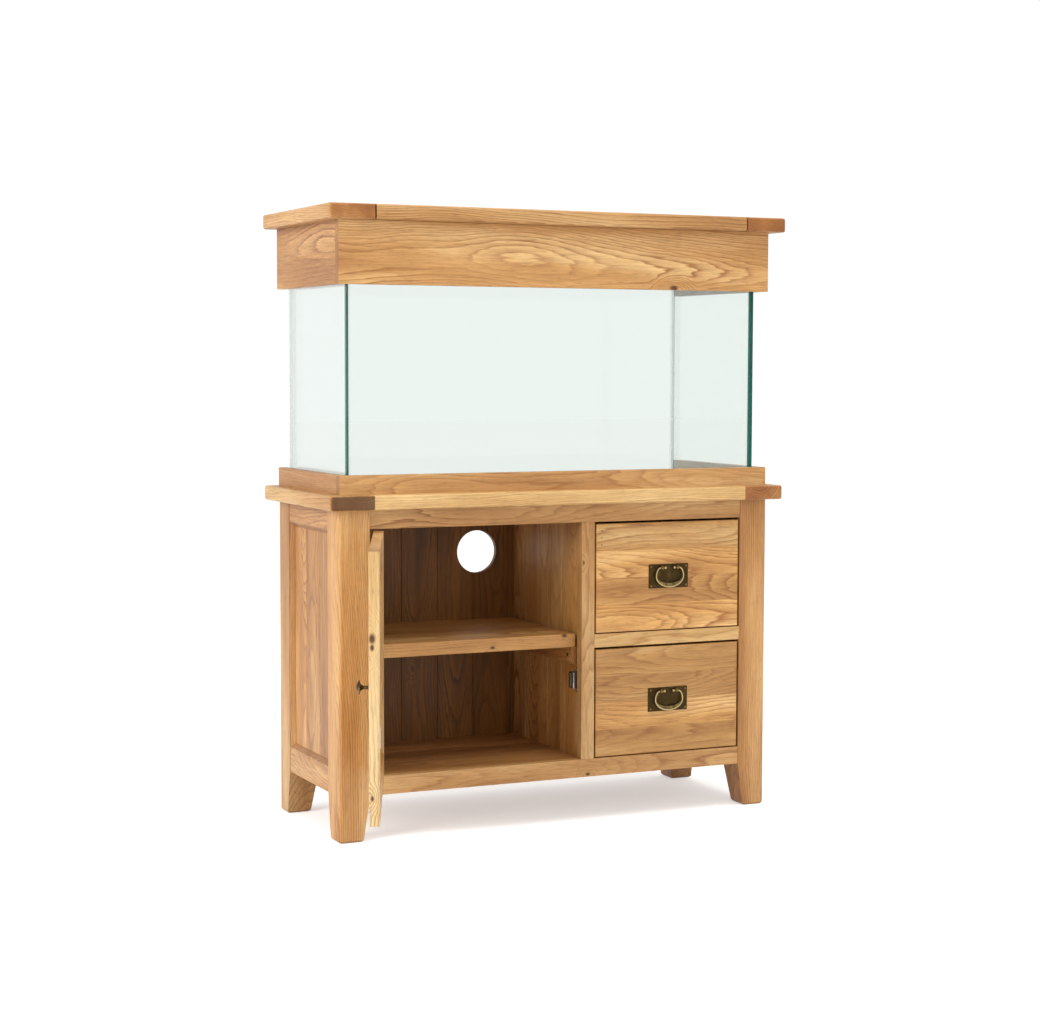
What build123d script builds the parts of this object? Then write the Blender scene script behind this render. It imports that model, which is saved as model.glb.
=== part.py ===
"""Oak aquarium on a cabinet stand: a framed cabinet with one door and two drawers,
a frameless glass tank in an oak trim, and an oak hood with a lift-up flap.

Millimetres, +Z up, +X to the right along the front, +Y towards the back.
The rest pose has the door standing open. The origin is on the floor, in the middle
of the footprint of the whole piece with its door open.
"""
from build123d import *
import math
import os

os.makedirs("parts", exist_ok=True)

# ---- Driving dimensions -------------------------------------------------------------
# Cabinet carcass
carcass_width = 1044.0
carcass_depth = 396.0
cabinet_height = 741.0        # floor to the upper face of the cabinet top
post_side = 70.0              # square corner posts
post_arris = 8.0              # rounding of a post's outer corner
foot_height = 98.0            # floor to the underside of the rails
foot_taper = 16.0             # how far each inner face of a foot slopes back
foot_chamfer = 4.0
rail_thick = 22.0
rail_setback = 1.0            # rails, door and drawers stand this far behind the post face
rail_arris = 1.5
bottom_rail_height = 40.0
top_rail_height = 41.0
side_bottom_rail_height = 55.0
side_top_rail_height = 44.0
stile_left = 49.0             # left edge of the centre stile, from the middle of the cabinet
stile_width = 32.0
drawer_rail_height = 30.0
drawer_rail_rise = 289.0      # underside of the frame to the underside of the drawer rail

# Cabinet top: breadboard ends and middle planks
top_thick = 32.0
top_front_overhang = 26.0
top_back_overhang = 22.0
top_side_overhang = 28.0
top_end_board = 100.0
top_corner = 9.0              # rounding of a board's corners in plan
top_edge = 5.0                # rounding of its upper and lower edges
top_planks = 4

# Boarded panels, with a V at each joint
board_thick = 12.0
vee = 1.2                     # depth of the V at each joint
back_board_pitch = 90.5
back_joint = 39.0             # one joint of the back, from the middle of the cabinet
divider_joints = (94.0, 165.0, 286.0)   # joints of the divider, from its front edge
narrowest_board = 30.0
side_board_count = 3
back_rail_thick = 8.0
back_low_rail = 52.0
back_high_rail = 49.0
bead_width = 11.0
bead_depth = 10.0
bead_land = 2.0

# Inside the cabinet
floor_thick = 18.0
floor_board_count = 3
divider_inset = 6.0           # divider panel's left face behind the stile's left edge
shelf_thick = 30.0
shelf_front_setback = 30.0    # behind the rail face
shelf_end_gap = 7.0
bearer_width = 16.0
bearer_height = 37.0
screw_head_r = 3.5
screw_head_h = 1.6
cable_hole_r = 50.0
cable_hole_left = 41.5        # left of the cabinet's middle
cable_hole_rise = 576.0       # above the floor

# Drawers
drawer_front_thick = 20.0
drawer_side_gap = 3.5
drawer_bottom_gap = 2.5
drawer_top_gap = 5.0
drawer_edge = 2.5             # rounding round a drawer front
drawer_wall = 12.0
drawer_box_inset = 2.0        # box side behind the edge of the drawer front
drawer_headroom = 52.6        # above the box, under the frame
drawer_back_gap = 25.0        # behind the box, before the back boards
drawer_floor_thick = 6.0
drawer_floor_rise = 8.0
runner_lap = 10.0             # reach of a runner under the box side
runner_height = 24.0
runner_rise = 6.0             # runner top above the opening's lower edge
runner_play = 0.4
guide_play = 1.0
guide_rise = 12.0

# Drawer pulls
plate_width = 100.0
plate_height = 54.0
plate_thick = 2.0
nail_inset = 5.5
nail_r = 2.2
pull_spacing = 39.0
pull_rise = 19.0              # pivots above the plate's middle
pull_eye_r = 4.4              # eyes the bow's ends pass through
pull_eye_width = 7.0
pull_stem_r = 2.6
pull_stand = 7.6              # pivot axis in front of the plate's back
bail_r = 1.9
bail_play = 0.06
bail_width = 73.0             # outside, across the bow
bail_drop = 45.0              # pivot axis to the bottom of the bow
bail_shoulder = 19.0          # its widest point below the pivots
bail_straight = 0.5           # straight part of an end outside its eye
bail_belly = 9.5              # middle of the inner ridge above the bow's lowest point
bail_ridge_r = 1.1
bail_web = 1.4
bail_ball_r = 3.4
ball_from_eye = 8.0

# Door
door_gap = 3.0
door_thick = 21.0
door_member = 62.0            # width of its stiles and rails
door_board_thick = 8.0
door_board_count = 4
door_open_deg = 112.0         # how far the door stands open in the rest pose
door_edge = 1.5
knob_inset = 31.0             # from the door's free edge
knob_r = 13.8
knob_reach = 24.5
knob_stem_r = 3.4
knob_rose_r = 5.0
knob_button_r = 2.0           # flat at the middle of the knob's head

# Butt hinges
leaf_thick = 1.25
hinge_length = 50.0
hinge_leaf_width = 20.0
knuckle_r = 3.5
knuckle_gap = 0.4
hinge_pin_r = 1.5
hinge_pin_play = 0.05
knuckle_proud = 0.7           # barrel's back in front of the post face
hinge_end_distance = 95.0     # hinge middle from the door's end

# Magnetic catch
catch_drop = 74.0             # catch middle below the underside of the shelf
catch_body_height = 36.0
catch_body_width = 16.0
catch_body_depth = 20.0
catch_flange_height = 56.0
catch_flange_thick = 2.0
catch_flange_depth = 12.0
pole_thick = 2.0
pole_reach = 1.2              # poles stand this far out of the body
pole_spacing = 5.5
strike_gap = 0.4
strike_thick = 1.0
strike_width = 12.0
strike_height = 44.0

# Tank
glass_thick = 8.0
tank_side_inset = 26.5        # glass inside the ends of the carcass
tank_back_past = 6.0          # glass beyond the back of the carcass
tank_height = 468.0
mat_thick = 3.0
mat_inset = 2.5
silicone = 4.5

# Trim round the foot of the tank
trim_height = 41.0
trim_thick = 20.0
trim_front = 2.0              # its face behind the cabinet's front plane
trim_front_play = 2.0
trim_side_play = 3.5
trim_back_past = 2.0          # its ends beyond the back glass
trim_edge = 2.0

# Hood
hood_skirt = 134.0
hood_board = 20.0
hood_front_play = 3.0         # between its boards and the glass
hood_side_play = 4.5
hood_back_past = 5.0          # its ends beyond the back glass
hood_overlap = 29.0           # skirt's reach below the glass's upper edge
hood_back_rail_height = 55.0
hood_top_overhang = 28.0
hood_top_back_overhang = 13.0
hood_end_board = 101.0
batten_width = 18.0
batten_height = 18.0
seat_gap = 0.3
flap_side_gap = 3.5
flap_seam = 3.0
rear_plank_depth = 98.5
flap_seat = 0.5
flap_hinge_length = 60.0
flap_leaf_width = 24.0
flap_knuckle_r = 3.0
flap_hinge_from_middle = 280.0

# ---- Sizes and places worked out from the sizes above --------------------------------
top_width = carcass_width + 2 * top_side_overhang
top_depth = top_front_overhang + carcass_depth + top_back_overhang
tank_front = trim_front + trim_thick + trim_front_play    # glass behind the front plane
tank_width = carcass_width - 2 * tank_side_inset
tank_depth = carcass_depth + tank_back_past - tank_front
trim_width = tank_width + 2 * (trim_thick + trim_side_play)
trim_depth = tank_front + tank_depth + trim_back_past - trim_front
hood_width = tank_width + 2 * (hood_board + hood_side_play)
hood_front = tank_front - hood_front_play - hood_board
hood_depth = tank_front + tank_depth + hood_back_past - hood_front
hood_top_depth = hood_top_overhang + hood_front + hood_depth + hood_top_back_overhang
door_width = (carcass_width / 2 - post_side) + stile_left - 2 * door_gap
pin_from_edge = door_gap / 2                      # hinge axis to the door's hinge edge
pin_before_post = knuckle_proud + knuckle_r       # hinge axis in front of the post face
door_face = pin_before_post + rail_setback        # hinge axis to the door's outer face
open_sin = math.sin(math.radians(door_open_deg))
open_cos = math.cos(math.radians(door_open_deg))
pin_from_middle = carcass_width / 2 - post_side - pin_from_edge
knob_from_pin = pin_from_edge + door_width - knob_inset

# The footprint's left edge is the open door's knob, its front edge the door's free corner.
knob_tip = knob_reach - door_face
left_reach = pin_from_middle - knob_from_pin * open_cos + knob_tip * open_sin - knob_r * open_cos
front_reach = (pin_before_post + (pin_from_edge + door_width) * open_sin
               - (door_face + door_thick) * open_cos)
back_reach = hood_top_depth - hood_top_overhang
mid_x = (left_reach - top_width / 2) / 2
front_y = (front_reach - back_reach) / 2

left_x = mid_x - carcass_width / 2
right_x = mid_x + carcass_width / 2
back_y = front_y + carcass_depth
frame_y = front_y + rail_setback                  # face of the front frame
frame_back_y = frame_y + rail_thick
post_in_left = left_x + post_side
post_in_right = right_x - post_side
post_in_front = front_y + post_side
post_in_back = back_y - post_side
top_under_z = cabinet_height - top_thick
bottom_rail_z = foot_height + bottom_rail_height
top_rail_z = top_under_z - top_rail_height
side_low_z = foot_height + side_bottom_rail_height
side_high_z = top_under_z - side_top_rail_height
drawer_rail_z = foot_height + drawer_rail_rise
drawer_rail_top_z = drawer_rail_z + drawer_rail_height
stile_left_x = mid_x + stile_left
stile_right_x = stile_left_x + stile_width
divider_x = stile_left_x + divider_inset
divider_right_x = divider_x + board_thick
boards_back_y = back_y - back_rail_thick
boards_front_y = boards_back_y - board_thick
side_face = rail_setback + bead_depth             # side boards behind the posts' outer face
inner_left_x = left_x + side_face + board_thick
inner_right_x = right_x - side_face - board_thick
shelf_front_y = frame_y + shelf_front_setback
shelf_top_z = drawer_rail_top_z
shelf_under_z = shelf_top_z - shelf_thick
glass_z = cabinet_height + mat_thick
glass_top_z = glass_z + tank_height
skirt_z = glass_top_z - hood_overlap
hood_top_z = skirt_z + hood_skirt
lid_top_z = hood_top_z + top_thick
flap_hinge_y = front_y - hood_top_overhang + hood_top_depth - rear_plank_depth - flap_seam / 2
flap_hinge_z = lid_top_z + flap_knuckle_r
pin_x = mid_x - pin_from_middle
pin_y = front_y - pin_before_post
door_low_z = bottom_rail_z + door_gap
door_high_z = top_rail_z - door_gap
door_plane = Plane(origin=(pin_x, pin_y, 0), x_dir=(open_cos, -open_sin, 0), z_dir=(0, 0, 1))
closed_door_back_y = frame_y + door_thick
catch_z = shelf_under_z - catch_drop


# ---- Small helpers -------------------------------------------------------------------
def slab(x, y, z, mode=Mode.ADD):
    """Add a block that fills the spans x, y and z, each given as (low, high)."""
    size = [span[1] - span[0] for span in (x, y, z)]
    middle = tuple((span[0] + span[1]) / 2 for span in (x, y, z))
    with Locations(middle):
        return Box(*size, mode=mode)


def outline(points, plane, height, mode=Mode.ADD):
    """Add a straight-sided outline drawn on a plane and drawn out by height."""
    with BuildSketch(plane) as drawn:
        Polygon(*points, align=None)
    return extrude(drawn.sketch, amount=height, mode=mode)


def ship(builder, label):
    """Name a finished piece and write it."""
    builder.part.label = label
    export_step(builder.part, f"parts/{label}.step")


def edges_where(builder, test):
    """Edges whose middle point passes a test."""
    return builder.edges().filter_by(lambda edge: test(edge.center()))


def close(value, target, tolerance=0.05):
    return abs(value - target) < tolerance


def boards(plane, joints, thick, height):
    """Boards side by side along the plane's x, eased to a V at each inner joint."""
    last = len(joints) - 1
    for index in range(last):
        low, high = joints[index], joints[index + 1]
        ease_low = vee if index > 0 else 0
        ease_high = vee if index < last - 1 else 0
        points = [(low, ease_low), (low + ease_low, 0), (high - ease_high, 0), (high, ease_high),
                  (high, thick - ease_high), (high - ease_high, thick),
                  (low + ease_low, thick), (low, thick - ease_low)]
        distinct = [p for n, p in enumerate(points) if p != points[n - 1]]
        outline(distinct, plane, height)


def even_joints(length, count):
    return [length * n / count for n in range(count + 1)]


# ---- Cabinet carcass -----------------------------------------------------------------
def post(label, side, end):
    """A corner post; side is -1 left or +1 right, end is -1 front or +1 back."""
    outer_x = left_x if side < 0 else right_x
    outer_y = front_y if end < 0 else back_y
    inner_x = outer_x - side * post_side
    inner_y = outer_y - end * post_side
    with BuildPart() as builder:
        slab(sorted((outer_x, inner_x)), sorted((outer_y, inner_y)), (0, top_under_z))
        fillet(edges_where(builder, lambda c: close(c.X, outer_x) and close(c.Y, outer_y)
                           and close(c.Z, top_under_z / 2)), post_arris)
        across = Plane(origin=(inner_x, outer_y + end, 0), x_dir=(side, 0, 0), z_dir=(0, -end, 0))
        along = Plane(origin=(outer_x + side, inner_y, 0), x_dir=(0, end, 0), z_dir=(-side, 0, 0))
        for plane in (across, along):
            up = 1 if plane.y_dir.Z > 0 else -1
            outline([(-1, 0), (foot_taper, 0), (0, up * foot_height), (-1, up * foot_height)],
                    plane, post_side + 2, Mode.SUBTRACT)
        chamfer(builder.faces().sort_by(Axis.Z)[0].edges(), foot_chamfer)
    ship(builder, label)


def side_frame(label, side):
    """Upper and lower side rails between the posts of one end."""
    face_x = left_x + rail_setback if side < 0 else right_x - rail_setback
    x = sorted((face_x, face_x - side * rail_thick))
    with BuildPart() as builder:
        slab(x, (post_in_front, post_in_back), (foot_height, side_low_z))
        slab(x, (post_in_front, post_in_back), (side_high_z, top_under_z))
        fillet(edges_where(builder, lambda c: close(c.X, face_x) and close(c.Z, foot_height)),
               rail_arris)
    ship(builder, label)


def side_boards(label, side):
    """The boarded panel of one end, set back behind its beading."""
    length = post_in_back - post_in_front
    if side < 0:
        plane = Plane(origin=(left_x + side_face, post_in_back, side_low_z),
                      x_dir=(0, -1, 0), z_dir=(0, 0, 1))
    else:
        plane = Plane(origin=(right_x - side_face, post_in_front, side_low_z),
                      x_dir=(0, 1, 0), z_dir=(0, 0, 1))
    with BuildPart() as builder:
        boards(plane, even_joints(length, side_board_count), board_thick, side_high_z - side_low_z)
    ship(builder, label)


def panel_beads():
    """Mitred beading round the inside of both end panels."""
    inside_y = (post_in_front + bead_width, post_in_back - bead_width)
    inside_z = (side_low_z + bead_width, side_high_z - bead_width)
    with BuildPart() as builder:
        for side in (-1, 1):
            face_x = left_x + side_face if side < 0 else right_x - side_face
            x = sorted((face_x, face_x + side * bead_depth))
            slab(x, (post_in_front, post_in_back), (side_low_z, side_high_z))
            slab(x, inside_y, inside_z, mode=Mode.SUBTRACT)
        outer = [left_x + side_face - bead_depth, right_x - side_face + bead_depth]
        chamfer(edges_where(builder, lambda c: min(abs(c.X - v) for v in outer) < 0.1
                            and inside_y[0] - 0.1 < c.Y < inside_y[1] + 0.1
                            and inside_z[0] - 0.1 < c.Z < inside_z[1] + 0.1),
                bead_width - bead_land)
    ship(builder, "side_panel_beads")


def front_frame():
    """Rails and centre stile of the front."""
    across = (post_in_left, post_in_right)
    depth = (frame_y, frame_back_y)
    pieces = {
        "front_top_rail": (across, depth, (top_rail_z, top_under_z)),
        "front_bottom_rail": (across, depth, (foot_height, bottom_rail_z)),
        "centre_stile": ((stile_left_x, stile_right_x), depth, (bottom_rail_z, top_rail_z)),
        "drawer_rail": ((stile_right_x, post_in_right), depth, (drawer_rail_z, drawer_rail_top_z)),
    }
    for label, (x, y, z) in pieces.items():
        with BuildPart() as builder:
            slab(x, y, z)
            upright = label == "centre_stile"
            if upright:
                front_edges = edges_where(builder, lambda c: close(c.Y, frame_y)
                                          and (close(c.X, x[0]) or close(c.X, x[1])))
            else:
                front_edges = edges_where(builder, lambda c: close(c.Y, frame_y)
                                          and (close(c.Z, z[0]) or close(c.Z, z[1])))
            chamfer(front_edges, 0.8)
        ship(builder, label)


def back():
    """Boarded back with its cable hole, and the two rails behind it."""
    width = post_in_right - post_in_left
    first = (back_joint + width / 2) % back_board_pitch
    joints = [0.0]
    while first < width - 1:
        joints.append(first)
        first += back_board_pitch
    joints.append(width)
    hole_x = mid_x - cable_hole_left
    with BuildPart() as builder:
        boards(Plane(origin=(post_in_left, boards_front_y, foot_height)), joints,
               board_thick, top_under_z - foot_height)
        with BuildSketch(Plane(origin=(hole_x, boards_front_y - 1, cable_hole_rise),
                               x_dir=(1, 0, 0), z_dir=(0, 1, 0))):
            Circle(cable_hole_r)
        extrude(amount=board_thick + 2, mode=Mode.SUBTRACT)
    ship(builder, "back_boards")
    with BuildPart() as builder:
        slab((post_in_left, post_in_right), (boards_back_y, back_y),
             (foot_height, foot_height + back_low_rail))
        slab((post_in_left, post_in_right), (boards_back_y, back_y),
             (top_under_z - back_high_rail, top_under_z))
    ship(builder, "back_rails")


def inside():
    """Floor, divider, shelf and its bearers."""
    with BuildPart() as builder:
        cuts = even_joints(boards_front_y - frame_back_y, floor_board_count)
        low_z = bottom_rail_z - floor_thick
        boards(Plane(origin=(inner_right_x, frame_back_y, bottom_rail_z), x_dir=(0, 1, 0),
                     z_dir=(-1, 0, 0)), cuts, floor_thick, inner_right_x - inner_left_x)
        for x in ((inner_left_x, post_in_left), (post_in_right, inner_right_x)):
            for y in ((frame_back_y, post_in_front), (post_in_back, boards_front_y)):
                slab(x, y, (low_z - 1, bottom_rail_z + 1), Mode.SUBTRACT)
    ship(builder, "floor_boards")
    with BuildPart() as builder:
        length = boards_front_y - frame_back_y
        inner = [joint for joint in divider_joints if joint < length - narrowest_board]
        cuts = [0.0] + [length - joint for joint in reversed(inner)] + [length]
        boards(Plane(origin=(divider_x, boards_front_y, bottom_rail_z), x_dir=(0, -1, 0),
                     z_dir=(0, 0, 1)), cuts, board_thick, top_under_z - bottom_rail_z)
    ship(builder, "divider_boards")
    with BuildPart() as builder:
        slab((inner_left_x, divider_x - shelf_end_gap), (shelf_front_y, boards_front_y),
             (shelf_under_z, shelf_top_z))
        for y in ((shelf_front_y, post_in_front), (post_in_back, boards_front_y)):
            slab((inner_left_x, post_in_left), y, (shelf_under_z, shelf_top_z), Mode.SUBTRACT)
        fillet(edges_where(builder, lambda c: close(c.Y, shelf_front_y)
                           and (close(c.Z, shelf_under_z) or close(c.Z, shelf_top_z))), 2.0)
    ship(builder, "shelf")
    with BuildPart() as builder:
        z = (shelf_under_z - bearer_height, shelf_under_z)
        for x in ((post_in_left, post_in_left + bearer_width), (divider_x - bearer_width, divider_x)):
            slab(x, (shelf_front_y, boards_front_y), z)
    ship(builder, "shelf_bearers")


def catch():
    """Magnetic catch on the divider: flanged body and two steel poles."""
    body_right = divider_x
    body_left = divider_x - catch_body_width
    poles_y = closed_door_back_y + strike_thick + strike_gap
    body_y = poles_y + pole_reach
    with BuildPart() as builder:
        slab((body_left, body_right), (body_y, body_y + catch_body_depth),
             (catch_z - catch_body_height / 2, catch_z + catch_body_height / 2))
        slab((body_right - catch_flange_thick, body_right), (body_y, body_y + catch_flange_depth),
             (catch_z - catch_flange_height / 2, catch_z + catch_flange_height / 2))
        pole_z = (catch_z - catch_body_height / 2 + 2, catch_z + catch_body_height / 2 - 2)
        for pole_x in (body_left + 2.0, body_left + 2.0 + pole_spacing):
            slab((pole_x, pole_x + pole_thick), (poles_y, body_y), pole_z)
        for end in (-1, 1):
            hole_z = catch_z + end * (catch_flange_height + catch_body_height) / 4
            with BuildSketch(Plane(origin=(body_right - catch_flange_thick,
                                           body_y + catch_flange_depth / 2, hole_z),
                                   x_dir=(0, 1, 0), z_dir=(-1, 0, 0))):
                Circle(screw_head_r)
            extrude(amount=screw_head_h)
    ship(builder, "magnet_catch")


# ---- Hinges --------------------------------------------------------------------------
def knuckle_spans(length, count, gap):
    """Low and high ends of every knuckle along a hinge of this length, from its middle."""
    pitch = length / count
    return [(-length / 2 + n * pitch + gap / 2, -length / 2 + (n + 1) * pitch - gap / 2)
            for n in range(count)]


def hinge_half(plane, leaf_low, leaf_high, reach, knuckles, radius, hole, length):
    """One leaf of a hinge. The plane's z is the pin, its y runs along the leaf."""
    clear = radius + knuckle_gap
    with BuildSketch(plane.offset(-length / 2)) as leaf:
        with Locations(((leaf_low + leaf_high) / 2, (clear + reach) / 2)):
            Rectangle(leaf_high - leaf_low, reach - clear)
    extrude(leaf.sketch, amount=length)
    for low, high in knuckles:
        with BuildSketch(plane.offset(low)) as knuckle:
            Circle(radius)
            with Locations(((leaf_low + leaf_high) / 2, (clear + 0.5) / 2)):
                Rectangle(leaf_high - leaf_low, clear + 0.5)
            if hole:
                Circle(hole, mode=Mode.SUBTRACT)
        extrude(knuckle.sketch, amount=high - low)


def door_hinge_heights():
    return (door_low_z + hinge_end_distance, door_high_z - hinge_end_distance)


def door_hinges():
    """Both door hinges: the post leaves with their pins, and the door leaves."""
    spans = knuckle_spans(hinge_length, 5, knuckle_gap)
    with BuildPart() as builder:
        for z in door_hinge_heights():
            plane = Plane(origin=(pin_x, pin_y, z))
            hinge_half(plane, -pin_from_edge, -pin_from_edge + leaf_thick, hinge_leaf_width,
                       spans[::2], knuckle_r, None, hinge_length)
            with BuildSketch(plane.offset(-hinge_length / 2)):
                Circle(hinge_pin_r)
            extrude(amount=hinge_length)
    ship(builder, "hinge_post_leaves")
    with BuildPart() as builder:
        for z in door_hinge_heights():
            plane = door_plane.offset(z)
            hinge_half(plane, pin_from_edge - leaf_thick, pin_from_edge, hinge_leaf_width,
                       spans[1::2], knuckle_r, hinge_pin_r + hinge_pin_play, hinge_length)
    ship(builder, "hinge_door_leaves")


# ---- Door ----------------------------------------------------------------------------
def door_block(u, v, z, mode=Mode.ADD):
    """Add a block to the door: u along the leaf from the pin, v through its thickness."""
    with BuildSketch(door_plane.offset(z[0])) as drawn:
        with Locations(((u[0] + u[1]) / 2, (v[0] + v[1]) / 2)):
            Rectangle(u[1] - u[0], v[1] - v[0])
    extrude(drawn.sketch, amount=z[1] - z[0], mode=mode)


def door():
    hinge_edge = pin_from_edge
    free_edge = pin_from_edge + door_width
    through = (door_face, door_face + door_thick)
    inner = (hinge_edge + door_member, free_edge - door_member)
    pieces = {
        "door_hinge_stile": ((hinge_edge, inner[0]), (door_low_z, door_high_z)),
        "door_free_stile": ((inner[1], free_edge), (door_low_z, door_high_z)),
        "door_bottom_rail": (inner, (door_low_z, door_low_z + door_member)),
        "door_top_rail": (inner, (door_high_z - door_member, door_high_z)),
    }
    for label, (u, z) in pieces.items():
        with BuildPart() as builder:
            door_block(u, through, z)
            if "stile" in label:
                outer_u = hinge_edge if "hinge" in label else free_edge
                corners = [door_plane.from_local_coords(Vector(outer_u, v, 0)) for v in through]
                fillet(edges_where(builder, lambda c: any(
                    close(c.X, p.X) and close(c.Y, p.Y) for p in corners)), door_edge)
        ship(builder, label)
    with BuildPart() as builder:
        length = inner[1] - inner[0]
        low_z = door_low_z + door_member
        face_v = door_face + (door_thick - door_board_thick) / 2
        corner = door_plane.from_local_coords(Vector(inner[0], face_v, low_z))
        boards(Plane(origin=corner, x_dir=door_plane.x_dir, z_dir=(0, 0, 1)),
               even_joints(length, door_board_count), door_board_thick,
               door_high_z - door_member - low_z)
    ship(builder, "door_boards")


def door_fittings():
    """Knob with its fixing bolt, and the strike plate the catch holds."""
    middle_z = (door_low_z + door_high_z) / 2
    face = door_plane.from_local_coords(Vector(knob_from_pin, door_face, middle_z))
    outward = -door_plane.y_dir
    with BuildPart() as builder:
        with BuildSketch(Plane(origin=face, x_dir=outward, z_dir=Vector(0, 0, 1).cross(outward))):
            with BuildLine():
                Polyline((0, 0), (0, knob_rose_r), (1.6, knob_rose_r), (3.0, knob_stem_r), (9.0, knob_stem_r))
                ThreePointArc((9.0, knob_stem_r), (knob_reach - 9.3, knob_r * 0.46),
                              (knob_reach - 7.0, knob_r - 0.4))
                Polyline((knob_reach - 7.0, knob_r - 0.4), (knob_reach - 6.0, knob_r),
                         (knob_reach - 5.0, knob_r - 0.4))
                ThreePointArc((knob_reach - 5.0, knob_r - 0.4), (knob_reach - 1.5, knob_r * 0.55),
                              (knob_reach, knob_button_r))
                Polyline((knob_reach, knob_button_r), (knob_reach, 0), (0, 0))
            make_face()
        revolve(axis=Axis(face, outward))
    ship(builder, "door_knob")
    strike_low = catch_z - strike_height / 2
    strike_u = pin_from_edge + door_width - 1.0
    with BuildPart() as builder:
        door_block((strike_u - strike_width, strike_u),
                   (door_face + door_thick, door_face + door_thick + strike_thick),
                   (strike_low, strike_low + strike_height))
    ship(builder, "strike_plate")


# ---- Drawers -------------------------------------------------------------------------
front_left_x = stile_right_x + drawer_side_gap
front_right_x = post_in_right - drawer_side_gap
box_left_x = front_left_x + drawer_box_inset
box_right_x = front_right_x - drawer_box_inset
box_front_y = frame_y + drawer_front_thick
pull_x = (front_left_x + front_right_x) / 2
pivot_y = frame_y - pull_stand


def bail(label, pivot_z):
    """A swinging bow, two ridges with a web between them, and a ball on each end."""
    rod_x = bail_width / 2 - bail_r
    low_z = bail_r - bail_drop
    ball_x = pull_spacing / 2 - ball_from_eye
    start_x = pull_spacing / 2 + pull_eye_width / 2 + bail_straight
    ridge_depth = bail_drop - bail_belly - bail_shoulder
    front = Plane(origin=(pull_x, pivot_y, pivot_z), x_dir=(1, 0, 0), z_dir=(0, -1, 0))
    with BuildPart() as builder:
        with BuildLine(front) as path:
            Line((-ball_x, 0), (-start_x, 0))
            EllipticalCenterArc((-start_x, -bail_shoulder), rod_x - start_x, bail_shoulder,
                                start_angle=90, arc_size=90)
            EllipticalCenterArc((0, -bail_shoulder), rod_x, -low_z - bail_shoulder,
                                start_angle=180, arc_size=180)
            EllipticalCenterArc((start_x, -bail_shoulder), rod_x - start_x, bail_shoulder,
                                start_angle=0, arc_size=90)
            Line((start_x, 0), (ball_x, 0))
        with BuildSketch(Plane(origin=(pull_x - ball_x, pivot_y, pivot_z), x_dir=(0, 1, 0),
                               z_dir=(-1, 0, 0))) as section:
            Circle(bail_r)
        sweep(section.sketch, path=path.wires()[0])
        with BuildLine(front) as ridge:
            EllipticalCenterArc((0, -bail_shoulder), rod_x, ridge_depth,
                                start_angle=180, arc_size=180)
        with BuildSketch(Plane(origin=ridge.line @ 0, x_dir=(0, 1, 0),
                               z_dir=ridge.line % 0)) as small:
            Circle(bail_ridge_r)
        sweep(small.sketch, path=ridge.line)
        with BuildSketch(front.offset(-bail_web / 2)) as web:
            with BuildLine():
                EllipticalCenterArc((0, -bail_shoulder), rod_x, -low_z - bail_shoulder,
                                    start_angle=180, arc_size=180)
                EllipticalCenterArc((0, -bail_shoulder), rod_x, ridge_depth,
                                    start_angle=180, arc_size=180)
            make_face()
        extrude(web.sketch, amount=bail_web)
        for side in (-1, 1):
            with Locations((pull_x + side * ball_x, pivot_y, pivot_z)):
                Sphere(bail_ball_r, rotation=(0, 0, 90))
    ship(builder, label)


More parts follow.
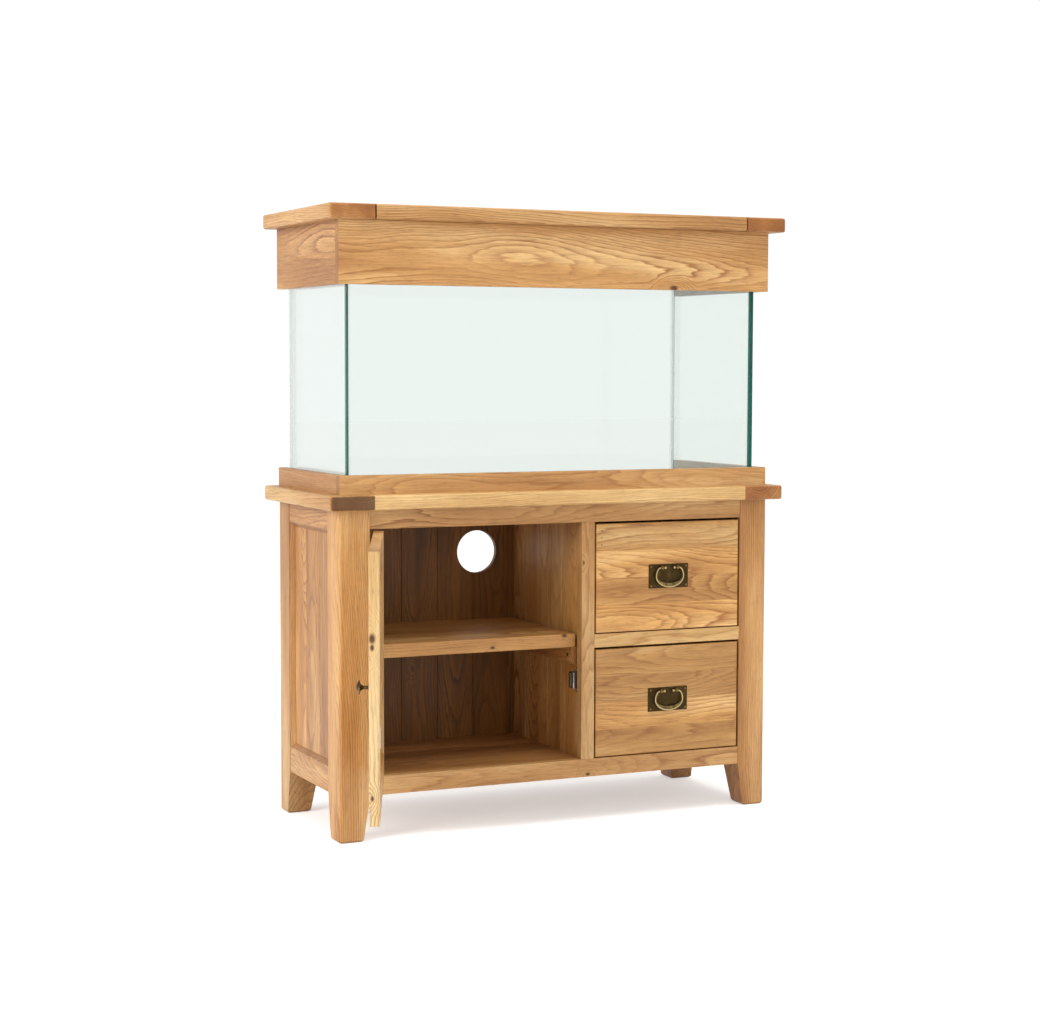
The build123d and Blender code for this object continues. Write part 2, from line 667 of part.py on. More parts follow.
def drawer(name, opening_low, opening_high):
    """Front, box and pull of one drawer."""
    z = (opening_low + drawer_bottom_gap, opening_high - drawer_top_gap)
    with BuildPart() as builder:
        slab((front_left_x, front_right_x), (frame_y, box_front_y), z)
        fillet(edges_where(builder, lambda c: close(c.Y, frame_y)), drawer_edge)
    ship(builder, f"drawer_{name}_front")
    box_low = opening_low + runner_rise + runner_play
    box_z = (box_low, opening_high - drawer_headroom)
    box_back_y = boards_front_y - drawer_back_gap
    floor_z = box_low + drawer_floor_rise
    with BuildPart() as builder:
        for x in ((box_left_x, box_left_x + drawer_wall), (box_right_x - drawer_wall, box_right_x)):
            slab(x, (box_front_y, box_back_y), box_z)
        slab((box_left_x + drawer_wall, box_right_x - drawer_wall),
             (box_back_y - drawer_wall, box_back_y), box_z)
        slab((box_left_x + drawer_wall, box_right_x - drawer_wall),
             (box_front_y, box_back_y - drawer_wall), (floor_z, floor_z + drawer_floor_thick))
    ship(builder, f"drawer_{name}_box")
    plate_z = (z[0] + z[1]) / 2
    pivot_z = plate_z + pull_rise
    with BuildPart() as builder:
        slab((pull_x - plate_width / 2, pull_x + plate_width / 2), (frame_y - plate_thick, frame_y),
             (plate_z - plate_height / 2, plate_z + plate_height / 2))
        chamfer(edges_where(builder, lambda c: close(c.Y, frame_y - plate_thick)), 0.7)
        face = Plane(origin=(pull_x, frame_y - plate_thick, plate_z), x_dir=(1, 0, 0), z_dir=(0, -1, 0))
        with BuildSketch(face):
            with GridLocations(plate_width - 2 * nail_inset, plate_height - 2 * nail_inset, 2, 2):
                Circle(nail_r)
        extrude(amount=0.9)
        with BuildSketch(face):
            with Locations((-pull_spacing / 2, pull_rise), (pull_spacing / 2, pull_rise)):
                Circle(pull_stem_r)
        extrude(amount=pull_stand - plate_thick - (pull_eye_r + bail_r) / 2)
        for side in (-1, 1):
            eye_x = pull_x + side * pull_spacing / 2
            with BuildSketch(Plane(origin=(eye_x - pull_eye_width / 2, pivot_y, pivot_z),
                                   x_dir=(0, 1, 0), z_dir=(1, 0, 0))):
                Circle(pull_eye_r)
                Circle(bail_r + bail_play, mode=Mode.SUBTRACT)
            extrude(amount=pull_eye_width)
            fillet(builder.edges().filter_by(GeomType.CIRCLE).filter_by(
                lambda edge: close(edge.radius, pull_eye_r) and abs(edge.center().X - eye_x)
                < pull_eye_width), 1.2)
    ship(builder, f"drawer_{name}_pull_plate")
    bail(f"bail_{name}", pivot_z)


def drawer_runners():
    """Runners and guides for both drawers, on the divider and between the right posts."""
    y = (frame_back_y, boards_front_y)
    with BuildPart() as builder:
        for opening_low in (bottom_rail_z, drawer_rail_top_z):
            top = opening_low + runner_rise
            low = max(top - runner_height, bottom_rail_z)
            slab((divider_right_x, box_left_x + runner_lap), y, (low, top))
            slab((divider_right_x, box_left_x - guide_play), y, (low, top + guide_rise))
            slab((box_right_x - runner_lap, post_in_right), y, (low, top))
            slab((box_right_x + guide_play, post_in_right), y, (low, top + guide_rise))
    ship(builder, "drawer_runners")


# ---- Cabinet top and hood top --------------------------------------------------------
def end_board(label, x, y, z, side):
    """A cross board closing the end of a top, rounded at its outer corners and edges."""
    outer_x = x[0] if side < 0 else x[1]
    inner_x = x[1] if side < 0 else x[0]
    with BuildPart() as builder:
        slab(x, y, z)
        fillet(builder.edges().filter_by(Axis.Z).filter_by(lambda edge: close(edge.center().X, outer_x)),
               top_corner)
        fillet(edges_where(builder, lambda c: (close(c.Z, z[0]) or close(c.Z, z[1]))
                           and not close(c.X, inner_x)), top_edge)
    ship(builder, label)


def plank_run(x, y, z, count, round_front, round_back):
    """Planks side by side from front to back, with the outer edges rounded."""
    boards(Plane(origin=(x[1], y[0], z[1]), x_dir=(0, 1, 0), z_dir=(-1, 0, 0)),
           even_joints(y[1] - y[0], count), z[1] - z[0], x[1] - x[0])
    return [value for value, wanted in ((y[0], round_front), (y[1], round_back)) if wanted]


def round_planks(builder, edge_values, z):
    fillet(edges_where(builder, lambda c: any(close(c.Y, value) for value in edge_values)
                       and (close(c.Z, z[0]) or close(c.Z, z[1]))), top_edge)


def cabinet_top():
    y = (front_y - top_front_overhang, front_y - top_front_overhang + top_depth)
    z = (top_under_z, cabinet_height)
    outer = (mid_x - top_width / 2, mid_x + top_width / 2)
    inner = (outer[0] + top_end_board, outer[1] - top_end_board)
    with BuildPart() as builder:
        rounded = plank_run(inner, y, z, top_planks, True, True)
        round_planks(builder, rounded, z)
    ship(builder, "cabinet_top_planks")
    end_board("cabinet_top_end_left", (outer[0], inner[0]), y, z, -1)
    end_board("cabinet_top_end_right", (inner[1], outer[1]), y, z, 1)


hood_top_y = (front_y - hood_top_overhang, front_y - hood_top_overhang + hood_top_depth)
hood_top_x = (mid_x - top_width / 2, mid_x + top_width / 2)
lid_x = (hood_top_x[0] + hood_end_board, hood_top_x[1] - hood_end_board)
flap_x = (lid_x[0] + flap_side_gap, lid_x[1] - flap_side_gap)


def hood_top():
    z = (hood_top_z, lid_top_z)
    end_board("hood_end_left", (hood_top_x[0], lid_x[0]), hood_top_y, z, -1)
    end_board("hood_end_right", (lid_x[1], hood_top_x[1]), hood_top_y, z, 1)
    with BuildPart() as builder:
        rear_y = (flap_hinge_y + flap_seam / 2, hood_top_y[1])
        rounded = plank_run(lid_x, rear_y, z, 1, False, True)
        round_planks(builder, rounded, z)
    ship(builder, "hood_rear_plank")
    with BuildPart() as builder:
        flap_z = (hood_top_z + flap_seat, lid_top_z)
        flap_y = (hood_top_y[0], flap_hinge_y - flap_seam / 2)
        rounded = plank_run(flap_x, flap_y, flap_z, 3, True, False)
        round_planks(builder, rounded, flap_z)
    ship(builder, "flap_planks")


def flap_hinges():
    """Both flap hinges: leaves on the rear plank with their pins, and leaves on the flap."""
    spans = knuckle_spans(flap_hinge_length, 5, knuckle_gap)
    low = -flap_knuckle_r
    fixed = [Plane(origin=(mid_x + side * flap_hinge_from_middle, flap_hinge_y, flap_hinge_z),
                   x_dir=(0, 0, 1), z_dir=(1, 0, 0)) for side in (-1, 1)]
    moving = [Plane(origin=plane.origin, x_dir=(0, 0, 1), z_dir=(-1, 0, 0)) for plane in fixed]
    rear_planes, flap_planes = (fixed, moving) if fixed[0].y_dir.Y > 0 else (moving, fixed)
    with BuildPart() as builder:
        for plane in rear_planes:
            hinge_half(plane, low, low + leaf_thick, flap_leaf_width, spans[::2],
                       flap_knuckle_r, None, flap_hinge_length)
            with BuildSketch(plane.offset(-flap_hinge_length / 2)):
                Circle(hinge_pin_r)
            extrude(amount=flap_hinge_length)
    ship(builder, "flap_hinge_rear_leaves")
    with BuildPart() as builder:
        for plane in flap_planes:
            hinge_half(plane, low, low + leaf_thick, flap_leaf_width, spans[1::2],
                       flap_knuckle_r, hinge_pin_r + hinge_pin_play, flap_hinge_length)
    ship(builder, "flap_hinge_flap_leaves")


# ---- Tank, its trim and the hood's skirt ---------------------------------------------
tank_x = (mid_x - tank_width / 2, mid_x + tank_width / 2)
tank_y = (front_y + tank_front, front_y + tank_front + tank_depth)
pane_z = (glass_z + glass_thick, glass_top_z)
inner_tank_x = (tank_x[0] + glass_thick, tank_x[1] - glass_thick)
inner_tank_y = (tank_y[0] + glass_thick, tank_y[1] - glass_thick)


def tank():
    with BuildPart() as builder:
        slab((tank_x[0] + mat_inset, tank_x[1] - mat_inset),
             (tank_y[0] + mat_inset, tank_y[1] - mat_inset), (cabinet_height, glass_z))
    ship(builder, "tank_mat")
    panes = {
        "glass_bottom": [(tank_x, tank_y, (glass_z, pane_z[0]))],
        "glass_front": [(tank_x, (tank_y[0], inner_tank_y[0]), pane_z)],
        "glass_back": [(tank_x, (inner_tank_y[1], tank_y[1]), pane_z)],
        "glass_left": [((tank_x[0], inner_tank_x[0]), inner_tank_y, pane_z)],
        "glass_right": [((inner_tank_x[1], tank_x[1]), inner_tank_y, pane_z)],
    }
    for label, spans in panes.items():
        with BuildPart() as builder:
            for x, y, z in spans:
                slab(x, y, z)
        ship(builder, label)
    with BuildPart() as builder:
        for x, sx in zip(inner_tank_x, (1, -1)):
            for y, sy in zip(inner_tank_y, (1, -1)):
                outline([(x, y), (x + sx * silicone, y), (x, y + sy * silicone)],
                        Plane.XY.offset(pane_z[0]), pane_z[1] - pane_z[0] - 2)
        for y, sy in zip(inner_tank_y, (1, -1)):
            outline([(y, pane_z[0]), (y + sy * silicone, pane_z[0]), (y, pane_z[0] + silicone)],
                    Plane(origin=(inner_tank_x[0], 0, 0), x_dir=(0, 1, 0), z_dir=(1, 0, 0)),
                    inner_tank_x[1] - inner_tank_x[0])
        for x, sx in zip(inner_tank_x, (1, -1)):
            outline([(x, pane_z[0]), (x + sx * silicone, pane_z[0]), (x, pane_z[0] + silicone)],
                    Plane(origin=(0, inner_tank_y[1], 0), x_dir=(1, 0, 0), z_dir=(0, -1, 0)),
                    inner_tank_y[1] - inner_tank_y[0])
    ship(builder, "silicone_seams")


def tank_trim():
    """Low oak kerb round the front and ends of the tank."""
    x = (mid_x - trim_width / 2, mid_x + trim_width / 2)
    y = (front_y + trim_front, front_y + trim_front + trim_thick)
    back_end = front_y + trim_front + trim_depth
    z = (cabinet_height, cabinet_height + trim_height)
    with BuildPart() as builder:
        slab(x, y, z)
        fillet(edges_where(builder, lambda c: close(c.Z, z[1])), trim_edge)
    ship(builder, "tank_trim_front")
    with BuildPart() as builder:
        for span in ((x[0], x[0] + trim_thick), (x[1] - trim_thick, x[1])):
            slab(span, (y[1], back_end), z)
        fillet(edges_where(builder, lambda c: close(c.Z, z[1]) and not close(c.Y, y[1])), trim_edge)
    ship(builder, "tank_trim_sides")


def hood_skirt_boards():
    x = (mid_x - hood_width / 2, mid_x + hood_width / 2)
    y = (front_y + hood_front, front_y + hood_front + hood_board)
    back_end = front_y + hood_front + hood_depth
    z = (skirt_z, hood_top_z)
    inner = (x[0] + hood_board, x[1] - hood_board)
    with BuildPart() as builder:
        slab(x, y, z)
        fillet(edges_where(builder, lambda c: close(c.Z, z[0])), 1.0)
    ship(builder, "hood_front")
    for label, span in (("hood_side_left", (x[0], inner[0])), ("hood_side_right", (inner[1], x[1]))):
        with BuildPart() as builder:
            slab(span, (y[1], back_end), z)
            fillet(edges_where(builder, lambda c: close(c.Z, z[0]) and not close(c.Y, y[1])), 1.0)
        ship(builder, label)
    with BuildPart() as builder:
        rail_z = (hood_top_z - hood_back_rail_height, hood_top_z)
        batten_z = (glass_top_z + seat_gap, glass_top_z + seat_gap + batten_height)
        slab(inner, (back_end - hood_board, back_end), rail_z)
        for span in ((inner[0], inner[0] + batten_width), (inner[1] - batten_width, inner[1])):
            slab(span, (y[1], back_end - hood_board), batten_z)
    ship(builder, "hood_inner_rails")


# ---- Make every piece ----------------------------------------------------------------
post("post_front_left", -1, -1)
post("post_front_right", 1, -1)
post("post_back_left", -1, 1)
post("post_back_right", 1, 1)
side_frame("side_rails_left", -1)
side_frame("side_rails_right", 1)
side_boards("side_boards_left", -1)
side_boards("side_boards_right", 1)
panel_beads()
front_frame()
back()
inside()
catch()
door_hinges()
door()
door_fittings()
drawer_runners()
drawer("upper", drawer_rail_top_z, top_rail_z)
drawer("lower", bottom_rail_z, drawer_rail_z)
cabinet_top()
hood_top()
flap_hinges()
tank()
tank_trim()
hood_skirt_boards()
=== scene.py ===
"""Oak aquarium on a cabinet stand: finishes, small fittings, studio and camera."""

import logging
import math
from dataclasses import dataclass
from enum import Enum
from typing import Optional, Sequence

import bmesh
import bpy
from mathutils import Matrix, Vector


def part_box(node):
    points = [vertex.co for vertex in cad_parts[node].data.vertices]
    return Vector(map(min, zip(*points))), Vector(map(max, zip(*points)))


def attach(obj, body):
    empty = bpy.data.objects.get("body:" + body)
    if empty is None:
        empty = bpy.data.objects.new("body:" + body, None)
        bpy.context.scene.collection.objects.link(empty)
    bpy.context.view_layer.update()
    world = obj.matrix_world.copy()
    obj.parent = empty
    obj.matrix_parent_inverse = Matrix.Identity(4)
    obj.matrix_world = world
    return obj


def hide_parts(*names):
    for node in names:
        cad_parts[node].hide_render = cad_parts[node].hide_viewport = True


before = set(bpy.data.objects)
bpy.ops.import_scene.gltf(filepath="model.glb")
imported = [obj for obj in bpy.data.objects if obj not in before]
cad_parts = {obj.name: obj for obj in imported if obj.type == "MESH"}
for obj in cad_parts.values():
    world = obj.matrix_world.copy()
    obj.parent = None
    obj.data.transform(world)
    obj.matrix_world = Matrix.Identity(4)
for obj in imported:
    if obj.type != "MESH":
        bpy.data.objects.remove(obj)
LOG = logging.getLogger("aquarium")
MM = 0.001
Socket = bpy.types.NodeSocket
WHITE = (1.0, 1.0, 1.0, 1.0)
SMOOTH_BELOW = math.radians(35)


class Axis(Enum):
    """A direction of the object, as its index in x, y, z."""

    ACROSS = 0
    FORE_AND_AFT = 1
    UPRIGHT = 2


class Tone(Enum):
    """Light, middle and dark wood colours of one kind of oak board, as sRGB hex."""

    PALE = ("EBCD98", "D6B076", "AE7F47")
    AMBER = ("E2B87C", "CA9858", "96602E")
    HONEY = ("DBB47C", "C3935A", "935F2E")
    WARM = ("D0A26A", "B48149", "825027")
    BROWN = ("D29A60", "B07C46", "784C28")
    # Own deep brown of the inner back boards, darkened further with painted shade of the closed cupboard.
    DEEP = ("8E5C1A", "72450A", "442A04")


class Cells(Enum):
    """Noises in the wood, as cells per metre across, through and along a board."""

    BENDS = (2.5, 2.5, 2.1)  # the pith wanders over 400 mm
    JAGS = (130.0, 130.0, 12.0)  # ragged edges of a ring, 8 mm by 80 mm
    PATCHES = (8.0, 8.0, 2.5)  # rings fade and return over 125 mm by 400 mm
    CLOUDS = (16.0, 16.0, 1.6)  # heart wood, 60 mm by 600 mm
    FIBRES = (360.0, 360.0, 16.0)  # 3 mm by 60 mm, as real ones are too fine to show
    PORES = (700.0, 700.0, 45.0)  # 1.4 mm by 22 mm, coarser than real for the same reason


# How dark a year ring is at each part of its width, from the dense late wood outwards.
RING_PROFILE = ((0.0, 0.0), (0.12, 1.0), (0.36, 0.4), (0.9, 0.06), (1.0, 0.0))
HEART_OF_KNOT = "55301A"
SOAKED = (1.0, 0.8, 0.6)  # red, green and blue that the ends of boards keep of their light


def linear(hex_colour: str) -> tuple[float, float, float, float]:
    """Turn an sRGB hex colour to linear light.

    Args:
        hex_colour: Six hex digits.

    Returns:
        Red, green, blue and an alpha of one.
    """
    parts = [int(hex_colour[i:i + 2], 16) / 255 for i in (0, 2, 4)]
    red, green, blue = (c / 12.92 if c <= 0.04045 else ((c + 0.055) / 1.055) ** 2.4 for c in parts)
    return red, green, blue, 1.0


def add(tree: bpy.types.NodeTree, kind: str, inputs: Optional[dict] = None,
        **settings: object) -> bpy.types.Node:
    """Add a shader node with its settings and links.

    Args:
        tree: The material's node tree.
        kind: The node's type name without its ShaderNode prefix.
        inputs: Values or sockets by input name or number.
        settings: Properties of the node.

    Returns:
        The new node.
    """
    made = tree.nodes.new("ShaderNode" + kind)
    for name, value in settings.items():
        setattr(made, name, value)
    for key, value in (inputs or {}).items():
        if isinstance(value, Socket):
            tree.links.new(value, made.inputs[key])
        else:
            made.inputs[key].default_value = value
    return made


def ramp(made: bpy.types.Node, stops: Sequence[tuple[float, tuple]]) -> bpy.types.Node:
    """Set the stops of a colour ramp.

    Args:
        made: A colour ramp node.
        stops: Position and colour pairs, at least two.

    Returns:
        The same node.
    """
    band = made.color_ramp
    while len(band.elements) < len(stops):
        band.elements.new(0.5)
    for element, (position, colour) in zip(band.elements, stops):
        element.position = position
        element.color = colour
    return made


def new_material(name: str) -> tuple[bpy.types.Material, bpy.types.NodeTree]:
    """Make a material that has no nodes yet.

    Args:
        name: The material's name.

    Returns:
        The material and its node tree.
    """
    material = bpy.data.materials.new(name)
    material.use_nodes = True
    material.node_tree.nodes.clear()
    return material, material.node_tree


@dataclass(frozen=True)
class Planks:
    """Equal boards glued side by side in one piece, from a start and a width in metres."""

    axis: Axis
    start: float
    pitch: float


@dataclass(frozen=True)
class Knot:
    """A knot, or a pin hole if it is small enough, by its place and radius in metres.

    Distances along the grain count for less than they are, so it is longer that way. How far
    off it bends the rings, how far it pushes them and where its darkest heart ends are in radii.
    """

    place: tuple[float, float, float]
    radius: float
    along: float = 0.6
    reach: float = 4.5
    push: float = 2.2
    heart: float = 0.3


@dataclass(frozen=True)
class BoardSpace:
    """Sockets for a point's place in its own board and for the board's chance."""

    across: Socket
    through: Socket
    along: Socket
    straight: Socket
    chance: Socket
    tint: Socket


@dataclass(frozen=True)
class OakFinish:
    """Knotty European oak, planed, glued up and given a satin lacquer.

    Every board keeps its own pith a little behind its face, so flat-sawn faces show the
    rings as long cathedral arches. Ends show darker pores, and fibres run along the grain.
    Where outer is set, the faces that look to the back take that tone, and the main tone on the other faces
    carries painted shade.
    """

    name: str
    grain: Axis
    low: Vector
    high: Vector
    tone: Tone = Tone.HONEY
    seed: int = 0
    planks: Optional[Planks] = None
    knots: tuple[Knot, ...] = ()
    gloss: float = 0.46
    ring_mm: float = 4.4
    tilt: float = 0.05
    end_dark: float = 0.62
    depth: float = 0.055
    level: float = 0.12
    outer: Optional[Tone] = None
    pin_hole: float = 2.0 * MM
    pith_aside: float = 0.03
    pith_spread: float = 0.05
    pith_bend: tuple[float, float, float] = (0.07, 0.065, 0.0)
    jag_depth: float = 3.4 * MM
    year_cells: float = 55.0
    year_swing: float = 2.6
    boards_apart: float = 7.0
    bump_height: float = 0.6 * MM

    def axes(self) -> tuple[int, int]:
        """Find the wide and the thin axis across the grain.

        Returns:
            The wide axis and the thin axis.
        """
        size = self.high - self.low
        first, second = (i for i in range(3) if i != self.grain.value)
        if self.planks is not None:
            return (first, second) if self.planks.axis.value == first else (second, first)
        return (first, second) if size[first] >= size[second] else (second, first)

    def board_space(self, tree: bpy.types.NodeTree, here: bpy.types.Node) -> BoardSpace:
        """Measure every point from the middle of its own board.

        Args:
            tree: The material's node tree.
            here: The texture coordinate node.

        Returns:
            The point's place in its board.
        """
        wide, thin = self.axes()
        middle = (self.low + self.high) / 2
        spot = add(tree, "VectorMath", {0: here.outputs["Object"], 1: tuple(middle)}, operation="SUBTRACT")
        spot = add(tree, "SeparateXYZ", {0: spot.outputs[0]})
        across, number = spot.outputs[wide], 0.0
        if self.planks is not None:
            width = self.planks.pitch
            apart = add(tree, "SeparateXYZ", {0: here.outputs["Object"]})
            step = add(tree, "Math", {0: apart.outputs[wide], 1: self.planks.start}, operation="SUBTRACT")
            step = add(tree, "Math", {0: step.outputs[0], 1: width}, operation="DIVIDE")
            number = add(tree, "Math", {0: step.outputs[0]}, operation="FLOOR").outputs[0]
            part = add(tree, "Math", {0: step.outputs[0], 1: number}, operation="SUBTRACT")
            part = add(tree, "Math", {0: part.outputs[0], 1: 0.5}, operation="SUBTRACT")
            across = add(tree, "Math", {0: part.outputs[0], 1: width}, operation="MULTIPLY").outputs[0]
        # The board's number and the seed pick its chance colour, which moves its noises apart.
        key = add(tree, "Math", {0: number, 1: 0.37 + self.seed * 1.7}, operation="ADD")
        dice = add(tree, "TexWhiteNoise", {"W": key.outputs[0]}, noise_dimensions="1D")
        through, along = spot.outputs[thin], spot.outputs[self.grain.value]
        plain = add(tree, "CombineXYZ", {0: across, 1: through, 2: along})
        far = add(tree, "VectorMath", {0: dice.outputs["Color"], 1: (self.boards_apart,) * 3},
                  operation="MULTIPLY")
        straight = add(tree, "VectorMath", {0: plain.outputs[0], 1: far.outputs[0]}, operation="ADD")
        return BoardSpace(across, through, along, straight.outputs[0], dice.outputs["Color"],
                          dice.outputs["Value"])

    def mottle(self, tree: bpy.types.NodeTree, board: BoardSpace, cells: Cells, detail: float,
               roughness: float = 0.5) -> bpy.types.Node:
        """Lay a noise of long cells over a board.

        Args:
            tree: The material's node tree.
            board: The point's place in its board.
            cells: The size of the cells.
            detail: How many finer layers the noise has.
            roughness: How strong the finer layers are.

        Returns:
            The noise node.
        """
        spot = add(tree, "VectorMath", {0: board.straight, 1: cells.value}, operation="MULTIPLY")
        return add(tree, "TexNoise", {"Vector": spot.outputs[0], "Scale": 1.0, "Detail": detail,
                                      "Roughness": roughness})

    def pith_distance(self, tree: bpy.types.NodeTree, board: BoardSpace) -> Socket:
        """Measure how far a point is from its board's pith.

        The pith lies behind the face, leans along the board and wanders by a few centimetres.

        Args:
            tree: The material's node tree.
            board: The point's place in its board.

        Returns:
            The distance in metres, with the ragged edge of a ring added.
        """
        roll = add(tree, "SeparateXYZ", {0: board.chance})
        aside = add(tree, "MapRange", {0: roll.outputs[0], 1: 0.0, 2: 1.0, 3: -self.pith_aside,
                                       4: self.pith_aside})
        behind = add(tree, "MapRange", {0: roll.outputs[1], 1: 0.0, 2: 1.0, 3: self.depth,
                                        4: self.depth + self.pith_spread})
        lean = add(tree, "MapRange", {0: roll.outputs[2], 1: 0.0, 2: 1.0, 3: -self.tilt, 4: self.tilt})
        lean = add(tree, "Math", {0: board.along, 1: lean.outputs[0]}, operation="MULTIPLY")
        bend = self.mottle(tree, board, Cells.BENDS, 1.0, 0.4)
        bend = add(tree, "VectorMath", {0: bend.outputs["Color"], 1: (0.5, 0.5, 0.5)}, operation="SUBTRACT")
        bend = add(tree, "VectorMath", {0: bend.outputs[0], 1: self.pith_bend}, operation="MULTIPLY")
        bend = add(tree, "SeparateXYZ", {0: bend.outputs[0]})
        off_wide = add(tree, "Math", {0: board.across, 1: aside.outputs[0]}, operation="ADD")
        off_wide = add(tree, "Math", {0: off_wide.outputs[0], 1: bend.outputs[0]}, operation="ADD")
        off_thin = add(tree, "Math", {0: board.through, 1: behind.outputs[0]}, operation="SUBTRACT")
        off_thin = add(tree, "Math", {0: off_thin.outputs[0], 1: lean.outputs[0]}, operation="ADD")
        off_thin = add(tree, "Math", {0: off_thin.outputs[0], 1: bend.outputs[1]}, operation="ADD")
        spoke = add(tree, "CombineXYZ", {0: off_wide.outputs[0], 1: off_thin.outputs[0], 2: 0.0})
        radius = add(tree, "VectorMath", {0: spoke.outputs[0]}, operation="LENGTH")
        jag = self.mottle(tree, board, Cells.JAGS, 2.0)
        jag = add(tree, "Math", {0: jag.outputs[0], 1: self.jag_depth}, operation="MULTIPLY")
        return add(tree, "Math", {0: radius.outputs["Value"], 1: jag.outputs[0]}, operation="ADD").outputs[0]

    def knotted(self, tree: bpy.types.NodeTree, here: bpy.types.Node,
                radius: Socket) -> tuple[Socket, Optional[Socket]]:
        """Bend the rings round the knots.

        Args:
            tree: The material's node tree.
            here: The texture coordinate node.
            radius: Distance from the pith.

        Returns:
            The bent distance, and how far a point is inside a knot's heart if there are knots.
        """
        core = None
        for knot in self.knots:
            stretch = tuple(knot.along if i == self.grain.value else 1.0 for i in range(3))
            gap = add(tree, "VectorMath", {0: here.outputs["Object"], 1: knot.place}, operation="SUBTRACT")
            gap = add(tree, "VectorMath", {0: gap.outputs[0], 1: stretch}, operation="MULTIPLY")
            gap = add(tree, "VectorMath", {0: gap.outputs[0]}, operation="LENGTH")
            near = add(tree, "MapRange", {0: gap.outputs["Value"], 1: 0.0, 2: knot.radius * knot.reach,
                                          3: 1.0, 4: 0.0}, interpolation_type="SMOOTHSTEP")
            push = knot.radius * knot.push if knot.radius > self.pin_hole else 0.0
            swell = add(tree, "Math", {0: near.outputs[0], 1: push}, operation="MULTIPLY")
            radius = add(tree, "Math", {0: radius, 1: swell.outputs[0]}, operation="ADD").outputs[0]
            heart = add(tree, "MapRange", {0: gap.outputs["Value"], 1: knot.radius * knot.heart,
                                           2: knot.radius, 3: 1.0, 4: 0.0}, interpolation_type="SMOOTHSTEP")
            core = heart.outputs[0] if core is None else add(
                tree, "Math", {0: core, 1: heart.outputs[0]}, operation="MAXIMUM").outputs[0]
        return radius, core

    def ring_figure(self, tree: bpy.types.NodeTree, board: BoardSpace, radius: Socket) -> Socket:
        """Draw the year rings.

        Years differ in width; late wood is a thin dark line, and early wood fades behind it.

        Args:
            tree: The material's node tree.
            board: The point's place in its board.
            radius: Distance from the pith.

        Returns:
            How dark a ring is here.
        """
        years = add(tree, "TexNoise", {"W": radius, "Scale": self.year_cells, "Detail": 1.0},
                    noise_dimensions="1D")
        years = add(tree, "Math", {0: years.outputs[0], 1: self.year_swing}, operation="MULTIPLY")
        turn = add(tree, "Math", {0: radius, 1: self.ring_mm * MM}, operation="DIVIDE")
        turn = add(tree, "Math", {0: turn.outputs[0], 1: years.outputs[0]}, operation="ADD")
        ring = add(tree, "Math", {0: turn.outputs[0]}, operation="FRACT")
        ring = ramp(add(tree, "ValToRGB", {0: ring.outputs[0]}),
                    [(position, (dark, dark, dark, 1.0)) for position, dark in RING_PROFILE])
        patch = self.mottle(tree, board, Cells.PATCHES, 2.0)
        strength = add(tree, "MapRange", {0: patch.outputs[0], 1: 0.36, 2: 0.62, 3: 0.32, 4: 1.0})
        figure = add(tree, "Math", {0: ring.outputs[0], 1: strength.outputs[0]}, operation="MULTIPLY")
        return figure.outputs[0]

    def board_colour(self, tree: bpy.types.NodeTree, tone: Tone, cloud: Socket, figure: Socket) -> Socket:
        """Colour the wood between its rings and darken it on them.

        Args:
            tree: The material's node tree.
            tone: The wood's colours.
            cloud: Soft variation over a board.
            figure: How dark a ring is here.

        Returns:
            The colour.
        """
        light, middle, dark = (linear(c) for c in tone.value)
        wood = ramp(add(tree, "ValToRGB", {0: cloud}), [(0.3, light), (0.5, middle), (0.86, dark)])
        return add(tree, "Mix", {"Factor": figure, 6: wood.outputs[0], 7: dark},
                   data_type="RGBA").outputs[2]

    def build(self) -> bpy.types.Material:
        """Make the material.

        Returns:
            The finished material.
        """
        material, tree = new_material(self.name)
        here = add(tree, "TexCoord")
        facing = add(tree, "SeparateXYZ", {0: here.outputs["Normal"]})
        board = self.board_space(tree, here)
        radius, core = self.knotted(tree, here, self.pith_distance(tree, board))
        figure = self.ring_figure(tree, board, radius)

        # Soft clouds of heart wood, then fibres, then short dark pores.
        cloud = self.mottle(tree, board, Cells.CLOUDS, 3.0)
        fibre = self.mottle(tree, board, Cells.FIBRES, 3.0, 0.6)
        pore = self.mottle(tree, board, Cells.PORES, 1.0)
        pore = add(tree, "MapRange", {0: pore.outputs[0], 1: 0.58, 2: 0.7, 3: 1.0, 4: 0.76})
        colour = self.board_colour(tree, self.tone, cloud.outputs[0], figure)
        # Lit and shaded copies: faces that look to the back keep the outer tone, the other faces keep the
        # main tone with its painted shade.
        if self.outer is not None:
            unshaded_back_faces = add(tree, "Math", {0: facing.outputs[1], 1: 0.5}, operation="GREATER_THAN")
            other = self.board_colour(tree, self.outer, cloud.outputs[0], figure)
            colour = add(tree, "Mix", {"Factor": unshaded_back_faces.outputs[0], 6: colour, 7: other},
                         data_type="RGBA").outputs[2]
        shade = add(tree, "MapRange", {0: fibre.outputs[0], 1: 0.3, 2: 0.7, 3: 0.84, 4: 1.1})
        shade = add(tree, "Math", {0: shade.outputs[0], 1: pore.outputs[0]}, operation="MULTIPLY")
        own = add(tree, "MapRange", {0: board.tint, 1: 0.0, 2: 1.0, 3: 1.0 - self.level, 4: 1.0 + self.level})
        shade = add(tree, "Math", {0: shade.outputs[0], 1: own.outputs[0]}, operation="MULTIPLY")
        colour = add(tree, "VectorMath", {0: colour, 1: shade.outputs[0]}, operation="MULTIPLY").outputs[0]
        if core is not None:
            colour = add(tree, "Mix", {"Factor": core, 6: colour, 7: linear(HEART_OF_KNOT)},
                         data_type="RGBA").outputs[2]

